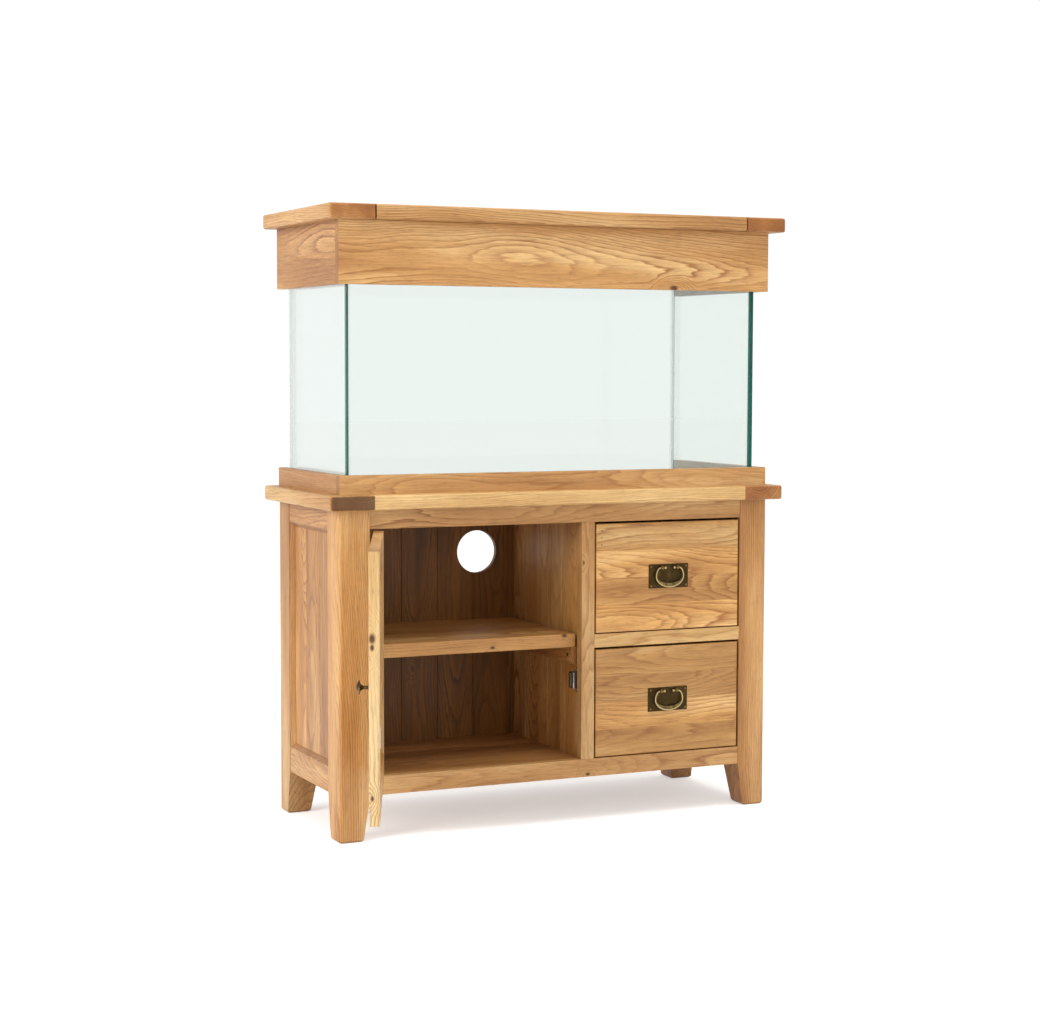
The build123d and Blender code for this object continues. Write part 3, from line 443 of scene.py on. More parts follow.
        # Ends of boards soak up more lacquer and look darker and redder.
        end = add(tree, "Math", {0: facing.outputs[self.grain.value]}, operation="ABSOLUTE")
        end = add(tree, "MapRange", {0: end.outputs[0], 1: 0.55, 2: 0.9, 3: 0.0, 4: 1.0})
        soaked = add(tree, "VectorMath", {0: colour, 1: tuple(self.end_dark * c for c in SOAKED)},
                     operation="MULTIPLY")
        colour = add(tree, "Mix", {"Factor": end.outputs[0], 6: colour, 7: soaked.outputs[0]},
                     data_type="RGBA").outputs[2]
        rough = add(tree, "MapRange", {0: fibre.outputs[0], 1: 0.3, 2: 0.7, 3: self.gloss + 0.1,
                                       4: self.gloss - 0.04})
        height = add(tree, "Math", {0: fibre.outputs[0], 1: figure}, operation="SUBTRACT")
        bump = add(tree, "Bump", {"Strength": 0.22, "Distance": self.bump_height,
                                  "Height": height.outputs[0]})
        shader = add(tree, "BsdfPrincipled", {"Base Color": colour, "Roughness": rough.outputs[0],
                                              "Normal": bump.outputs[0], "Coat Weight": 0.12,
                                              "Coat Roughness": 0.3, "Specular IOR Level": 0.4})
        add(tree, "OutputMaterial", {0: shader.outputs[0]})
        return material


@dataclass(frozen=True)
class GlassFinish:
    """Float glass panes with ground edges.

    The faces let nearly everything through with a cool tint. The front edges gather the green of the glass
    and read as dark teal lines; the far ones get a pale colour and are mostly see-through, which is painted
    backlight.
    """

    name: str
    thin: Axis
    middle_y: float
    tint: str = "F9FBFA"
    edge_near: str = "237264"
    edge_far_painted_backlit: str = "D3DBD6"
    index: float = 1.5
    shine: float = 0.4
    far_painted_backlight_clear: float = 0.65
    wave_cells: float = 9.0

    def build(self) -> bpy.types.Material:
        """Make the material.

        Returns:
            The finished material.
        """
        material, tree = new_material(self.name)
        here = add(tree, "TexCoord")
        facing = add(tree, "SeparateXYZ", {0: here.outputs["Normal"]})
        flat = add(tree, "Math", {0: facing.outputs[self.thin.value]}, operation="ABSOLUTE")
        flat = add(tree, "Math", {0: flat.outputs[0], 1: 0.7}, operation="GREATER_THAN")
        clear = add(tree, "BsdfTransparent", {0: linear(self.tint)})
        gloss = add(tree, "BsdfGlossy", {"Color": WHITE, "Roughness": 0.02})
        mirror = add(tree, "Fresnel", {"IOR": self.index})
        mirror = add(tree, "Math", {0: mirror.outputs[0], 1: self.shine}, operation="MULTIPLY")
        face = add(tree, "MixShader", {0: mirror.outputs[0], 1: clear.outputs[0], 2: gloss.outputs[0]})
        # The ground edge has a faint waviness along its length.
        wave = add(tree, "TexNoise", {"Vector": here.outputs["Object"], "Scale": self.wave_cells,
                                      "Detail": 1.0})
        place = add(tree, "SeparateXYZ", {0: here.outputs["Object"]})
        # Edges behind the middle take the pale painted-backlight colour instead of the teal.
        far = add(tree, "Math", {0: place.outputs[1], 1: self.middle_y}, operation="GREATER_THAN")
        green = add(tree, "Mix", {"Factor": far.outputs[0], 6: linear(self.edge_near),
                                  7: linear(self.edge_far_painted_backlit)}, data_type="RGBA")
        level = add(tree, "MapRange", {0: wave.outputs[0], 1: 0.3, 2: 0.7, 3: 0.9, 4: 1.06})
        green = add(tree, "VectorMath", {0: green.outputs[2], 1: level.outputs[0]}, operation="MULTIPLY")
        edge = add(tree, "BsdfPrincipled", {"Base Color": green.outputs[0], "Roughness": 0.12,
                                            "Specular IOR Level": 0.6})
        # Painted backlight: a far edge is pale and mostly see-through, as if the light behind shone through
        # it.
        faint = add(tree, "Math", {0: far.outputs[0], 1: self.far_painted_backlight_clear}, operation="MULTIPLY")
        edge = add(tree, "MixShader", {0: faint.outputs[0], 1: edge.outputs[0], 2: clear.outputs[0]})
        whole = add(tree, "MixShader", {0: flat.outputs[0], 1: edge.outputs[0], 2: face.outputs[0]})
        add(tree, "OutputMaterial", {0: whole.outputs[0]})
        return material


@dataclass(frozen=True)
class MetalFinish:
    """Cast or stamped metal: a dark patina in the hollows, bare where fingers rub it.

    Where rubbed_before is set, whatever stands further forward than that depth is bare.
    """

    name: str
    patina: str
    bare: str
    bare_share: float
    roughness: float
    speck_mm: float
    rubbed_before: Optional[float] = None
    cloud_cells: float = 90.0
    rub_fade: float = 0.4 * MM
    hollow_share: float = 0.35
    bump_height: float = 0.3 * MM

    def build(self) -> bpy.types.Material:
        """Make the material.

        Returns:
            The finished material.
        """
        material, tree = new_material(self.name)
        here = add(tree, "TexCoord")
        speck = add(tree, "TexNoise", {"Vector": here.outputs["Object"], "Scale": 1 / (self.speck_mm * MM),
                                       "Detail": 3.0, "Roughness": 0.6})
        cloud = add(tree, "TexNoise", {"Vector": here.outputs["Object"], "Scale": self.cloud_cells,
                                       "Detail": 2.0})
        mixed = add(tree, "Math", {0: speck.outputs[0], 1: cloud.outputs[0]}, operation="ADD")
        rubbed = add(tree, "MapRange", {0: mixed.outputs[0], 1: 1.25 - self.bare_share,
                                        2: 1.5 - self.bare_share, 3: 0.0, 4: 1.0})
        if self.rubbed_before is not None:
            place = add(tree, "SeparateXYZ", {0: here.outputs["Object"]})
            raised = add(tree, "MapRange", {0: place.outputs[1], 1: self.rubbed_before - self.rub_fade,
                                            2: self.rubbed_before, 3: 1.0, 4: 0.0})
            hollow = add(tree, "Math", {0: rubbed.outputs[0], 1: self.hollow_share}, operation="MULTIPLY")
            rubbed = add(tree, "Math", {0: raised.outputs[0], 1: hollow.outputs[0]}, operation="MAXIMUM")
        colour = add(tree, "Mix", {"Factor": rubbed.outputs[0], 6: linear(self.patina), 7: linear(self.bare)},
                     data_type="RGBA")
        rough = add(tree, "MapRange", {0: rubbed.outputs[0], 1: 0.0, 2: 1.0, 3: self.roughness + 0.14,
                                       4: self.roughness})
        bump = add(tree, "Bump", {"Strength": 0.25, "Distance": self.bump_height, "Height": speck.outputs[0]})
        shader = add(tree, "BsdfPrincipled", {"Base Color": colour.outputs[2], "Metallic": 1.0,
                                              "Roughness": rough.outputs[0], "Normal": bump.outputs[0]})
        add(tree, "OutputMaterial", {0: shader.outputs[0]})
        return material


@dataclass(frozen=True)
class MouldedFinish:
    """Moulded plastic, foam or cured sealant: one colour with a fine surface grain."""

    name: str
    colour: str
    roughness: float
    grain_mm: float
    clear: float = 0.0
    bump_height: float = 0.2 * MM

    def build(self) -> bpy.types.Material:
        """Make the material.

        Returns:
            The finished material.
        """
        material, tree = new_material(self.name)
        here = add(tree, "TexCoord")
        grain = add(tree, "TexNoise", {"Vector": here.outputs["Object"], "Scale": 1 / (self.grain_mm * MM),
                                       "Detail": 2.0})
        level = add(tree, "MapRange", {0: grain.outputs[0], 1: 0.3, 2: 0.7, 3: 0.88, 4: 1.08})
        colour = add(tree, "VectorMath", {0: linear(self.colour)[:3], 1: level.outputs[0]},
                     operation="MULTIPLY")
        rough = add(tree, "MapRange", {0: grain.outputs[0], 1: 0.3, 2: 0.7, 3: self.roughness - 0.06,
                                       4: self.roughness + 0.08})
        bump = add(tree, "Bump", {"Strength": 0.2, "Distance": self.bump_height, "Height": grain.outputs[0]})
        last = add(tree, "BsdfPrincipled", {"Base Color": colour.outputs[0], "Roughness": rough.outputs[0],
                                            "Normal": bump.outputs[0]})
        if self.clear > 0:
            through = add(tree, "BsdfTransparent", {0: WHITE})
            last = add(tree, "MixShader", {0: self.clear, 1: last.outputs[0], 2: through.outputs[0]})
        add(tree, "OutputMaterial", {0: last.outputs[0]})
        return material


def dress(node: str, material: bpy.types.Material) -> None:
    """Give a CAD node its material.

    Args:
        node: The node's name.
        material: The material it takes.
    """
    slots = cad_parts[node].data.materials
    slots.clear()
    slots.append(material)
    LOG.info("dressed %s in %s", node, material.name)


def oak(node: str, grain: Axis, tone: Tone, seed: int, **details: object) -> None:
    """Dress a CAD node in oak that knows the node's own size.

    Args:
        node: The node's name.
        grain: The way its grain runs.
        tone: Its colours.
        seed: Picks its figure.
        details: Any other field of the finish.
    """
    low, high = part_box(node)
    dress(node, OakFinish(f"oak_{node}", grain, low, high, tone, seed, **details).build())


def equal_planks(node: str, axis: Axis, count: int) -> Planks:
    """Split a node's box into equal boards.

    Args:
        node: The node's name.
        axis: The axis the boards lie side by side on.
        count: How many boards there are.

    Returns:
        The boards.
    """
    low, high = (corner[axis.value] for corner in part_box(node))
    return Planks(axis, low, (high - low) / count)


def cabinet_origin() -> tuple[float, float]:
    """Find the middle of the carcass and its front plane.

    Returns:
        The x of the middle and the y of the front plane, in metres.
    """
    left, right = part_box("post_front_left")[0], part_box("post_front_right")[1]
    return (left.x + right.x) / 2, left.y


def face_knots(node: str, *spots: tuple[float, float, float], proud: float = 0.0) -> tuple[Knot, ...]:
    """Put knots in the front face of a node.

    Args:
        node: The node's name.
        spots: For each knot, millimetres right of the cabinet's middle, above the floor and of radius.
        proud: How far in front of the face the knots' middles lie, in millimetres.

    Returns:
        The knots.
    """
    middle, _ = cabinet_origin()
    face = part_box(node)[0].y - proud * MM
    return tuple(Knot((middle + aside * MM, face, up * MM), radius * MM) for aside, up, radius in spots)


def start_piece(name: str, finish: bpy.types.Material) -> bpy.types.Object:
    """Name the primitive just added, put its place in its mesh and give it a finish.

    Args:
        name: The piece's name.
        finish: Its material.

    Returns:
        The piece.
    """
    piece = bpy.context.object
    piece.name = name
    piece.data.name = name
    bpy.ops.object.transform_apply(location=True, rotation=True, scale=True)
    piece.data.materials.clear()
    piece.data.materials.append(finish)
    return piece


def start_block(name: str, low: Vector, high: Vector, finish: bpy.types.Material) -> bpy.types.Object:
    """Start a piece as a block between two corners.

    Args:
        name: The piece's name.
        low: Its lowest corner.
        high: Its highest corner.
        finish: Its material.

    Returns:
        The piece.
    """
    bpy.ops.object.select_all(action="DESELECT")
    bpy.ops.mesh.primitive_cube_add(size=1.0, location=(low + high) / 2, scale=high - low)
    return start_piece(name, finish)


def edit_faces(piece: bpy.types.Object, out: Vector) -> None:
    """Enter edit mode with only the faces selected that look one way.

    Args:
        piece: The active piece.
        out: The way they look, of length one.
    """
    bpy.ops.object.mode_set(mode="EDIT")
    bpy.ops.mesh.select_all(action="DESELECT")
    mesh = bmesh.from_edit_mesh(piece.data)
    for face in mesh.faces:
        face.select = face.normal.dot(out) > 0.9
    bmesh.update_edit_mesh(piece.data)


def soften(piece: bpy.types.Object, width: float) -> None:
    """Round a piece's edges with an applied bevel.

    Args:
        piece: The piece, active and in object mode.
        width: The bevel's width in metres.
    """
    bevel = piece.modifiers.new("soften", "BEVEL")
    bevel.width = width
    bevel.segments = 2
    bevel.limit_method = "ANGLE"
    bpy.ops.object.modifier_apply(modifier=bevel.name)
    bpy.ops.object.shade_smooth_by_angle(angle=SMOOTH_BELOW)


def finish_piece(piece: bpy.types.Object, body: str, replaced: Sequence[str] = ()) -> None:
    """Hand a piece to the frame.

    Args:
        piece: The finished mesh.
        body: The body it rides on.
        replaced: CAD nodes it stands for.
    """
    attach(piece, body)
    if replaced:
        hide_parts(*replaced)
    LOG.info("made %s on %s", piece.name, body)


@dataclass(frozen=True)
class Fittings:
    """The finishes that several pieces share."""

    brass: bpy.types.Material
    brass_plate: bpy.types.Material
    brass_knob: bpy.types.Material
    steel: bpy.types.Material
    dark_steel: bpy.types.Material
    plastic: bpy.types.Material
    foam: bpy.types.Material
    sealant: bpy.types.Material

    @classmethod
    def build(cls) -> "Fittings":
        """Make the finishes.

        Returns:
            The finishes by name.
        """
        bow_low, bow_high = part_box("bail_upper")
        _, plate_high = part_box("drawer_upper_pull_plate")
        bow_front = (bow_low.y + bow_high.y) / 2 - 1.0 * MM
        plate_rim = plate_high.y - 2.2 * MM
        return cls(
            brass=MetalFinish("aged_brass_rubbed", "4A3C24", "B5A070", 0.4, 0.28, 2.0, bow_front).build(),
            brass_plate=MetalFinish("aged_brass_plate", "44351E", "7A6440", 0.2, 0.44, 1.0,
                                    plate_rim).build(),
            brass_knob=MetalFinish("aged_brass_knob", "44351E", "7A6440", 0.36, 0.4, 1.4).build(),
            steel=MetalFinish("bright_steel", "8F8C84", "C9C6BE", 0.5, 0.3, 3.0).build(),
            dark_steel=MetalFinish("blackened_steel", "241C16", "4A4038", 0.3, 0.45, 2.0).build(),
            plastic=MouldedFinish("moulded_nylon_black", "2C2723", 0.4, 0.8).build(),
            foam=MouldedFinish("closed_cell_foam", "26282A", 0.85, 1.6).build(),
            sealant=MouldedFinish("cured_sealant_clear", "E4ECEA", 0.25, 2.0, clear=0.88).build())


@dataclass
class Screws:
    """Screw heads of one size, modelled once and copied to places that each look out one way."""

    name: str
    radius: float
    proud: float
    finish: bpy.types.Material
    places: list[tuple[Vector, Vector]]
    rim_share: float = 0.22
    slope_share: float = 0.3
    recess_share: float = 0.55

    def build(self) -> bpy.types.Object:
        """Model one head with its sunk middle and copy it to every place.

        Returns:
            One piece that holds all the heads.
        """
        bpy.ops.object.select_all(action="DESELECT")
        bpy.ops.mesh.primitive_cylinder_add(vertices=24, radius=self.radius, depth=self.proud,
                                            location=(0, 0, self.proud / 2))
        head = start_piece(self.name + "_pattern", self.finish)
        edit_faces(head, Vector((0, 0, 1)))
        bpy.ops.mesh.inset(thickness=self.radius * self.rim_share, depth=0.0)
        bpy.ops.mesh.inset(thickness=self.radius * self.slope_share, depth=-self.proud * self.recess_share)
        bpy.ops.object.mode_set(mode="OBJECT")
        made = []
        for place, out in self.places:
            copy = head.copy()
            copy.data = head.data.copy()
            bpy.context.collection.objects.link(copy)
            copy.matrix_world = Matrix.Translation(place) @ out.to_track_quat("Z", "Y").to_matrix().to_4x4()
            made.append(copy)
        bpy.data.objects.remove(head)
        bpy.ops.object.select_all(action="DESELECT")
        for copy in made:
            copy.select_set(True)
        bpy.context.view_layer.objects.active = made[0]
        bpy.ops.object.transform_apply(location=True, rotation=True, scale=True)
        bpy.ops.object.join()
        piece = bpy.context.object
        piece.name = self.name
        bpy.ops.object.shade_smooth_by_angle(angle=SMOOTH_BELOW)
        return piece


@dataclass
class MagneticCatch:
    """The catch: a moulded body with ears, two steel poles, a cover and screws. Sizes in metres."""

    fittings: Fittings
    body_half: float = 18.0 * MM
    body_round: float = 0.8 * MM
    rim: float = 1.2 * MM
    rim_depth: float = 0.6 * MM
    ear_thick: float = 2.0 * MM
    ear_deep: float = 12.0 * MM
    ear_round: float = 0.6 * MM
    pole_wide: float = 3.5 * MM
    pole_half: float = 17.5 * MM
    pole_deep: float = 8.0 * MM
    pole_proud: float = 1.2 * MM
    pole_inset: float = 0.5 * MM
    cover_half: float = 15.5 * MM
    cover_from: float = 9.5 * MM
    cover_to: float = 16.5 * MM
    cover_proud: float = 0.4 * MM
    cover_sunk: float = 1.0 * MM
    plate_round: float = 0.3 * MM
    screw_radius: float = 2.6 * MM
    screw_proud: float = 1.0 * MM
    screw_reach: float = 23.0 * MM

    def build(self) -> None:
        """Model the catch in the place of its CAD node."""
        low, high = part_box("magnet_catch")
        middle = (low.z + high.z) / 2
        front = low.y + self.pole_proud
        plastic, steel = self.fittings.plastic, self.fittings.steel
        body = start_block("catch_body", Vector((low.x, front, middle - self.body_half)),
                           Vector((high.x, high.y, middle + self.body_half)), plastic)
        edit_faces(body, Vector((0, -1, 0)))
        bpy.ops.mesh.inset(thickness=self.rim, depth=-self.rim_depth)
        bpy.ops.object.mode_set(mode="OBJECT")
        soften(body, self.body_round)
        finish_piece(body, "cabinet", ["magnet_catch"])
        ears = start_block("catch_ears", Vector((high.x - self.ear_thick, front, low.z)),
                           Vector((high.x, front + self.ear_deep, high.z)), plastic)
        soften(ears, self.ear_round)
        finish_piece(ears, "cabinet")
        first = low.x + self.pole_inset
        for number, x in enumerate((first, high.x - self.pole_inset - self.pole_wide), start=1):
            pole = start_block(f"catch_pole_{number}", Vector((x, low.y, middle - self.pole_half)),
                               Vector((x + self.pole_wide, low.y + self.pole_deep, middle + self.pole_half)),
                               steel)
            soften(pole, self.plate_round)
            finish_piece(pole, "cabinet")
        cover = start_block(
            "catch_cover",
            Vector((low.x - self.cover_proud, low.y + self.cover_from, middle - self.cover_half)),
            Vector((low.x + self.cover_sunk, low.y + self.cover_to, middle + self.cover_half)), steel)
        soften(cover, self.plate_round)
        finish_piece(cover, "cabinet")
        ear_face, ear_middle = high.x - self.ear_thick, front + self.ear_deep / 2
        places = [(Vector((ear_face, ear_middle, middle + reach)), Vector((-1, 0, 0)))
                  for reach in (-self.screw_reach, self.screw_reach)]
        screws = Screws("catch_screws", self.screw_radius, self.screw_proud, steel, places)
        finish_piece(screws.build(), "cabinet")


@dataclass
class Cabinet:
    """The carcass, its top, shelf and inside fittings. Sizes in metres."""

    fittings: Fittings
    back_board_wide: float = 90.5 * MM
    back_first_board: float = 38.5 * MM
    divider_board_wide: float = 72.0 * MM
    bearer_thick: float = 16.0 * MM
    bearer_screws: tuple[float, ...] = (0.06, 0.5, 0.94)
    screw_radius: float = 3.4 * MM
    screw_proud: float = 0.7 * MM

    def dress_frame(self) -> None:
        """Give posts, rails, panels and top their oak."""
        for name, tone, seed in (("post_front_left", Tone.HONEY, 3), ("post_front_right", Tone.WARM, 8),
                                 ("post_back_left", Tone.HONEY, 5), ("post_back_right", Tone.WARM, 6)):
            oak(name, Axis.UPRIGHT, tone, seed, tilt=0.03)
        for number, side in enumerate(("left", "right"), start=1):
            rails, boards = f"side_rails_{side}", f"side_boards_{side}"
            oak(rails, Axis.FORE_AND_AFT, Tone.WARM, 20 + number, level=0.05,
                planks=equal_planks(rails, Axis.UPRIGHT, 6))
            oak(boards, Axis.UPRIGHT, Tone.WARM, 30 + number,
                planks=equal_planks(boards, Axis.FORE_AND_AFT, 3))
        oak("side_panel_beads", Axis.UPRIGHT, Tone.WARM, 34)
        oak("front_top_rail", Axis.ACROSS, Tone.HONEY, 41)
        oak("front_bottom_rail", Axis.ACROSS, Tone.HONEY, 42,
            knots=face_knots("front_bottom_rail", (66, 104, 5)))
        oak("centre_stile", Axis.UPRIGHT, Tone.HONEY, 43, tilt=0.02,
            knots=face_knots("centre_stile", (53.5, 578, 4), proud=1.0))
        oak("drawer_rail", Axis.ACROSS, Tone.PALE, 44)
        oak("cabinet_top_end_left", Axis.FORE_AND_AFT, Tone.HONEY, 51, end_dark=0.3)
        oak("cabinet_top_end_right", Axis.FORE_AND_AFT, Tone.WARM, 52, end_dark=0.72, depth=0.02,
            ring_mm=5.5)
        oak("cabinet_top_planks", Axis.ACROSS, Tone.PALE, 53,
            planks=equal_planks("cabinet_top_planks", Axis.FORE_AND_AFT, 4))

    def dress_inside(self) -> None:
        """Give the inner boards their oak, in browner tones, with painted shade darkening the inner face of
        the back boards.
        """
        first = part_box("back_boards")[0].x + self.back_first_board
        # Inner face: painted shade over the boards' own deep brown; outer face: plain warm tone.
        oak("back_boards", Axis.UPRIGHT, Tone.DEEP, 61, gloss=0.55, outer=Tone.WARM,
            planks=Planks(Axis.ACROSS, first, self.back_board_wide),
            knots=face_knots("back_boards", (-204, 307, 6)))
        oak("back_rails", Axis.ACROSS, Tone.BROWN, 62, gloss=0.55)
        oak("floor_boards", Axis.ACROSS, Tone.BROWN, 63, gloss=0.5,
            planks=equal_planks("floor_boards", Axis.FORE_AND_AFT, 3))
        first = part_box("divider_boards")[0].y
        oak("divider_boards", Axis.UPRIGHT, Tone.AMBER, 64, gloss=0.5,
            planks=Planks(Axis.FORE_AND_AFT, first, self.divider_board_wide))
        oak("shelf", Axis.ACROSS, Tone.AMBER, 65, planks=equal_planks("shelf", Axis.FORE_AND_AFT, 3),
            knots=face_knots("shelf", (-154, 396, 5), (21, 414, 6)))
        oak("shelf_bearers", Axis.FORE_AND_AFT, Tone.WARM, 66)
        oak("drawer_runners", Axis.FORE_AND_AFT, Tone.BROWN, 67)

    def build_screws(self) -> None:
        """Screw the shelf bearers down."""
        low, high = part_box("shelf_bearers")
        middle = (low.z + high.z) / 2
        places = []
        for share in self.bearer_screws:
            y = low.y + (high.y - low.y) * share
            places.append((Vector((high.x - self.bearer_thick, y, middle)), Vector((-1, 0, 0))))
            places.append((Vector((low.x + self.bearer_thick, y, middle)), Vector((1, 0, 0))))
        steel = self.fittings.dark_steel
        screws = Screws("bearer_screws", self.screw_radius, self.screw_proud, steel, places)
        finish_piece(screws.build(), "cabinet")


@dataclass
class Door:
    """The framed and boarded door with its hinges, knob and strike plate. Sizes in metres."""

    fittings: Fittings
    board_wide: float = 86.8 * MM
    knot_inset: float = 6.0 * MM
    stile_knots: tuple[tuple[float, float], ...] = ((0.500, 0.009), (0.483, 0.006), (0.195, 0.005))

    def dress(self) -> None:
        """Give the door its oak and its metal."""
        low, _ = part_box("door_free_stile")
        knots = tuple(Knot((low.x + self.knot_inset, low.y + self.knot_inset, z), radius)
                      for z, radius in self.stile_knots)
        oak("door_hinge_stile", Axis.UPRIGHT, Tone.PALE, 71, tilt=0.02)
        oak("door_free_stile", Axis.UPRIGHT, Tone.PALE, 72, tilt=0.02, knots=knots)
        # The door stands open, so its rails run from front to back.
        oak("door_bottom_rail", Axis.FORE_AND_AFT, Tone.HONEY, 73)
        oak("door_top_rail", Axis.FORE_AND_AFT, Tone.HONEY, 74)
        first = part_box("door_boards")[0].y
        oak("door_boards", Axis.UPRIGHT, Tone.HONEY, 75,
            planks=Planks(Axis.FORE_AND_AFT, first, self.board_wide))
        for node in ("hinge_door_leaves", "hinge_post_leaves", "strike_plate"):
            dress(node, self.fittings.steel)
        dress("door_knob", self.fittings.brass_knob)


@dataclass
class Drawer:
    """One drawer with its box, backplate and swinging bow, and pin holes as for face_knots."""

    name: str
    seed: int
    fittings: Fittings
    pin_holes: tuple[tuple[float, float, float], ...] = ()

    def dress(self) -> None:
        """Give the drawer its oak and its brass."""
        front = f"drawer_{self.name}_front"
        oak(front, Axis.ACROSS, Tone.AMBER, self.seed, planks=equal_planks(front, Axis.UPRIGHT, 4),
            end_dark=0.8, ring_mm=4.0, level=0.2, knots=face_knots(front, *self.pin_holes))
        oak(f"drawer_{self.name}_box", Axis.FORE_AND_AFT, Tone.HONEY, self.seed + 1)
        dress(f"drawer_{self.name}_pull_plate", self.fittings.brass_plate)
        dress(f"bail_{self.name}", self.fittings.brass)


@dataclass
class Tank:
    """The glass tank, its seams, mat and oak kerb. Sizes in metres."""

    fittings: Fittings
    kerb_board_wide: float = 60.0 * MM
    kerb_board_before: float = 20.0 * MM

    def dress(self) -> None:
        """Give the panes their glass and the kerb its oak."""
        middle_y = (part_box("glass_front")[0].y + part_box("glass_back")[1].y) / 2
        for name, thin in (("glass_front", Axis.FORE_AND_AFT), ("glass_back", Axis.FORE_AND_AFT),
                           ("glass_left", Axis.ACROSS), ("glass_right", Axis.ACROSS),
                           ("glass_bottom", Axis.UPRIGHT)):
            dress(name, GlassFinish(f"float_{name}", thin, middle_y).build())
        dress("silicone_seams", self.fittings.sealant)
        dress("tank_mat", self.fittings.foam)
        oak("tank_trim_front", Axis.ACROSS, Tone.HONEY, 81)
        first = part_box("tank_trim_sides")[0].x - self.kerb_board_before
        oak("tank_trim_sides", Axis.FORE_AND_AFT, Tone.WARM, 82, level=0.03,
            planks=Planks(Axis.ACROSS, first, self.kerb_board_wide))


@dataclass
class Hood:
    """The lift-off hood, its framed top and its flap. Sizes in metres."""

    fittings: Fittings
    knot_aside: float = 275.5 * MM
    knot_above_edge: float = 4.0 * MM
    knot_radius: float = 9.0 * MM

    def dress(self) -> None:
        """Give the hood its oak and its hinges their steel."""
        middle, _ = cabinet_origin()
        low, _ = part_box("hood_front")
        knot = Knot((middle + self.knot_aside, low.y, low.z + self.knot_above_edge), self.knot_radius)
        oak("hood_front", Axis.ACROSS, Tone.HONEY, 91, ring_mm=3.8, knots=(knot,))
        for name, grain, tone, seed in (("hood_side_left", Axis.FORE_AND_AFT, Tone.WARM, 92),
                                        ("hood_side_right", Axis.FORE_AND_AFT, Tone.WARM, 93),
                                        ("hood_inner_rails", Axis.ACROSS, Tone.HONEY, 94),
                                        ("hood_end_left", Axis.FORE_AND_AFT, Tone.WARM, 95),
                                        ("hood_end_right", Axis.FORE_AND_AFT, Tone.WARM, 96),
                                        ("hood_rear_plank", Axis.ACROSS, Tone.HONEY, 97)):
            oak(name, grain, tone, seed, end_dark=0.75)
        oak("flap_planks", Axis.ACROSS, Tone.HONEY, 98,
            planks=equal_planks("flap_planks", Axis.FORE_AND_AFT, 3))
        dress("flap_hinge_rear_leaves", self.fittings.steel)
        dress("flap_hinge_flap_leaves", self.fittings.steel)


@dataclass(frozen=True)
class Lamp:
    """A square soft lamp that looks at the middle of the object, in metres and watts."""

    name: str
    place: tuple[float, float, float]
    side: float
    power: float
    aim: tuple[float, float, float] = (0.0, 0.0, 0.7)

    def hang(self) -> None:
        """Put the lamp in the scene, unseen in the glass."""
        data = bpy.data.lights.new(self.name, "AREA")
        data.size = self.side
        data.energy = self.power
        lamp = bpy.data.objects.new(self.name, data)
        lamp.location = self.place
        look = Vector(self.aim) - Vector(self.place)
        lamp.rotation_euler = look.to_track_quat("-Z", "Y").to_euler()
        lamp.visible_glossy = False
        bpy.context.collection.objects.link(lamp)


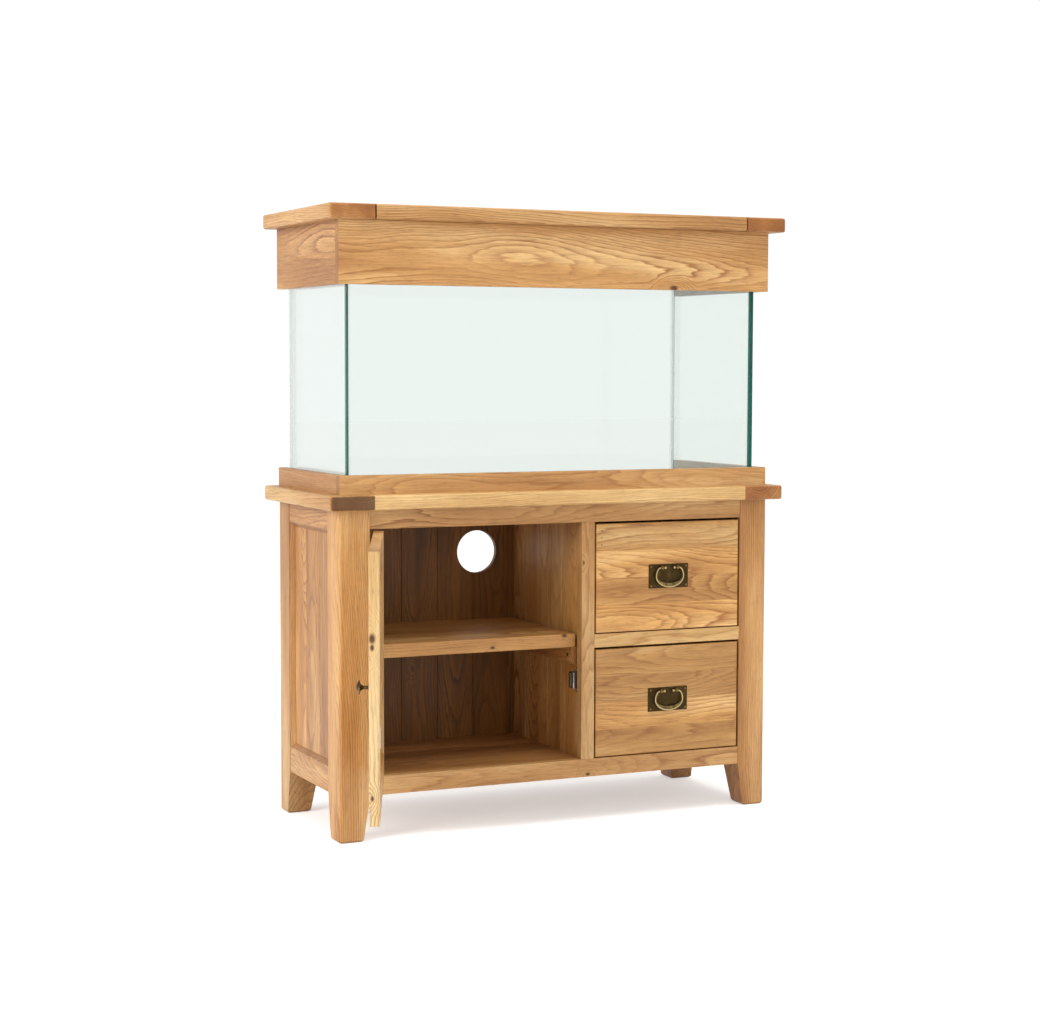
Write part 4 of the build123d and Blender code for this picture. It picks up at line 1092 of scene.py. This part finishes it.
@dataclass
class Studio:
    """Pale floor, soft lamps, white surroundings and the camera.

    The camera's offset is from the middle of the carcass at its front plane and the floor.
    The floor and the room look brighter than they light, so that they run into each other.
    """

    lens: float = 73.65
    sensor: float = 36.0
    yaw: float = math.radians(24.775)
    pitch: float = math.radians(-4.032)
    roll: float = math.radians(0.16)
    offset: tuple[float, float, float] = (-2.0415, -4.2002, 1.0191)
    floor_side: float = 60.0
    floor_drop: float = 0.5 * MM
    floor_glow: float = 0.44
    room_light: float = 0.66
    room_seen: float = 1.05
    lamps: tuple[Lamp, ...] = (Lamp("key_left", (-4.6, -1.3, 2.4), 2.4, 165.0),
                               Lamp("fill_front", (0.6, -4.6, 2.0), 2.6, 36.0),
                               Lamp("top_soft", (0.4, -0.6, 4.2), 3.0, 90.0))

    def build(self) -> None:
        """Make the camera, the floor, the lamps and the room."""
        self.build_camera()
        self.build_floor()
        for lamp in self.lamps:
            lamp.hang()
        self.build_room()
        bpy.context.scene.view_settings.view_transform = "Standard"

    def build_camera(self) -> None:
        """Set up the camera from its turn about each axis."""
        origin = Vector((*cabinet_origin(), 0.0))
        forward = Vector((math.sin(self.yaw) * math.cos(self.pitch),
                          math.cos(self.yaw) * math.cos(self.pitch), math.sin(self.pitch)))
        level = Vector((math.cos(self.yaw), -math.sin(self.yaw), 0.0))
        up = level.cross(forward)
        right_axis = level * math.cos(self.roll) + up * math.sin(self.roll)
        up_axis = up * math.cos(self.roll) - level * math.sin(self.roll)
        data = bpy.data.cameras.new("studio_camera")
        data.lens = self.lens
        data.sensor_width = self.sensor
        camera = bpy.data.objects.new("studio_camera", data)
        turn = Matrix((right_axis, up_axis, -forward)).transposed().to_4x4()
        camera.matrix_world = Matrix.Translation(origin + Vector(self.offset)) @ turn
        bpy.context.collection.objects.link(camera)
        bpy.context.scene.camera = camera

    def seen(self, tree: bpy.types.NodeTree) -> Socket:
        """Tell what is looked at, straight on or in a reflection, from what only lights.

        Args:
            tree: The node tree of the floor or the room.

        Returns:
            One where it is looked at.
        """
        ray = add(tree, "LightPath")
        return add(tree, "Math", {0: ray.outputs["Is Camera Ray"], 1: ray.outputs["Is Glossy Ray"]},
                   operation="MAXIMUM").outputs[0]

    def build_floor(self) -> None:
        """Lay a large sheet of matt paper that glows a little in what is seen."""
        bpy.ops.object.select_all(action="DESELECT")
        bpy.ops.mesh.primitive_plane_add(size=self.floor_side, location=(0, 0, -self.floor_drop))
        floor = bpy.context.object
        floor.name = "studio_floor"
        paper, tree = new_material("matt_paper")
        matt = add(tree, "BsdfDiffuse", {0: linear("F4F3F1")})
        glow = add(tree, "Math", {0: self.seen(tree), 1: self.floor_glow}, operation="MULTIPLY")
        glow = add(tree, "Emission", {0: WHITE, 1: glow.outputs[0]})
        sheet = add(tree, "AddShader", {0: matt.outputs[0], 1: glow.outputs[0]})
        add(tree, "OutputMaterial", {0: sheet.outputs[0]})
        floor.data.materials.append(paper)

    def build_room(self) -> None:
        """Surround the object with white that lights the wood more softly than it looks."""
        world = bpy.data.worlds.new("white_room")
        world.use_nodes = True
        tree = world.node_tree
        tree.nodes.clear()
        room = add(tree, "Background", {0: WHITE, 1: self.room_light})
        backdrop = add(tree, "Background", {0: WHITE, 1: self.room_seen})
        both = add(tree, "MixShader", {0: self.seen(tree), 1: room.outputs[0], 2: backdrop.outputs[0]})
        add(tree, "OutputWorld", {0: both.outputs[0]})
        bpy.context.scene.world = world


def main() -> None:
    """Build every part in order."""
    logging.basicConfig(level=logging.INFO, format="%(name)s: %(message)s")
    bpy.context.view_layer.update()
    fittings = Fittings.build()
    cabinet = Cabinet(fittings)
    cabinet.dress_frame()
    cabinet.dress_inside()
    MagneticCatch(fittings).build()
    cabinet.build_screws()
    Door(fittings).dress()
    Drawer("upper", 101, fittings, ((97.7, 647.6, 1.8), (97.7, 632.0, 1.8), (97.7, 616.4, 1.8))).dress()
    Drawer("lower", 111, fittings).dress()
    Tank(fittings).dress()
    Hood(fittings).dress()
    Studio().build()


if __name__ == "__main__":
    main()
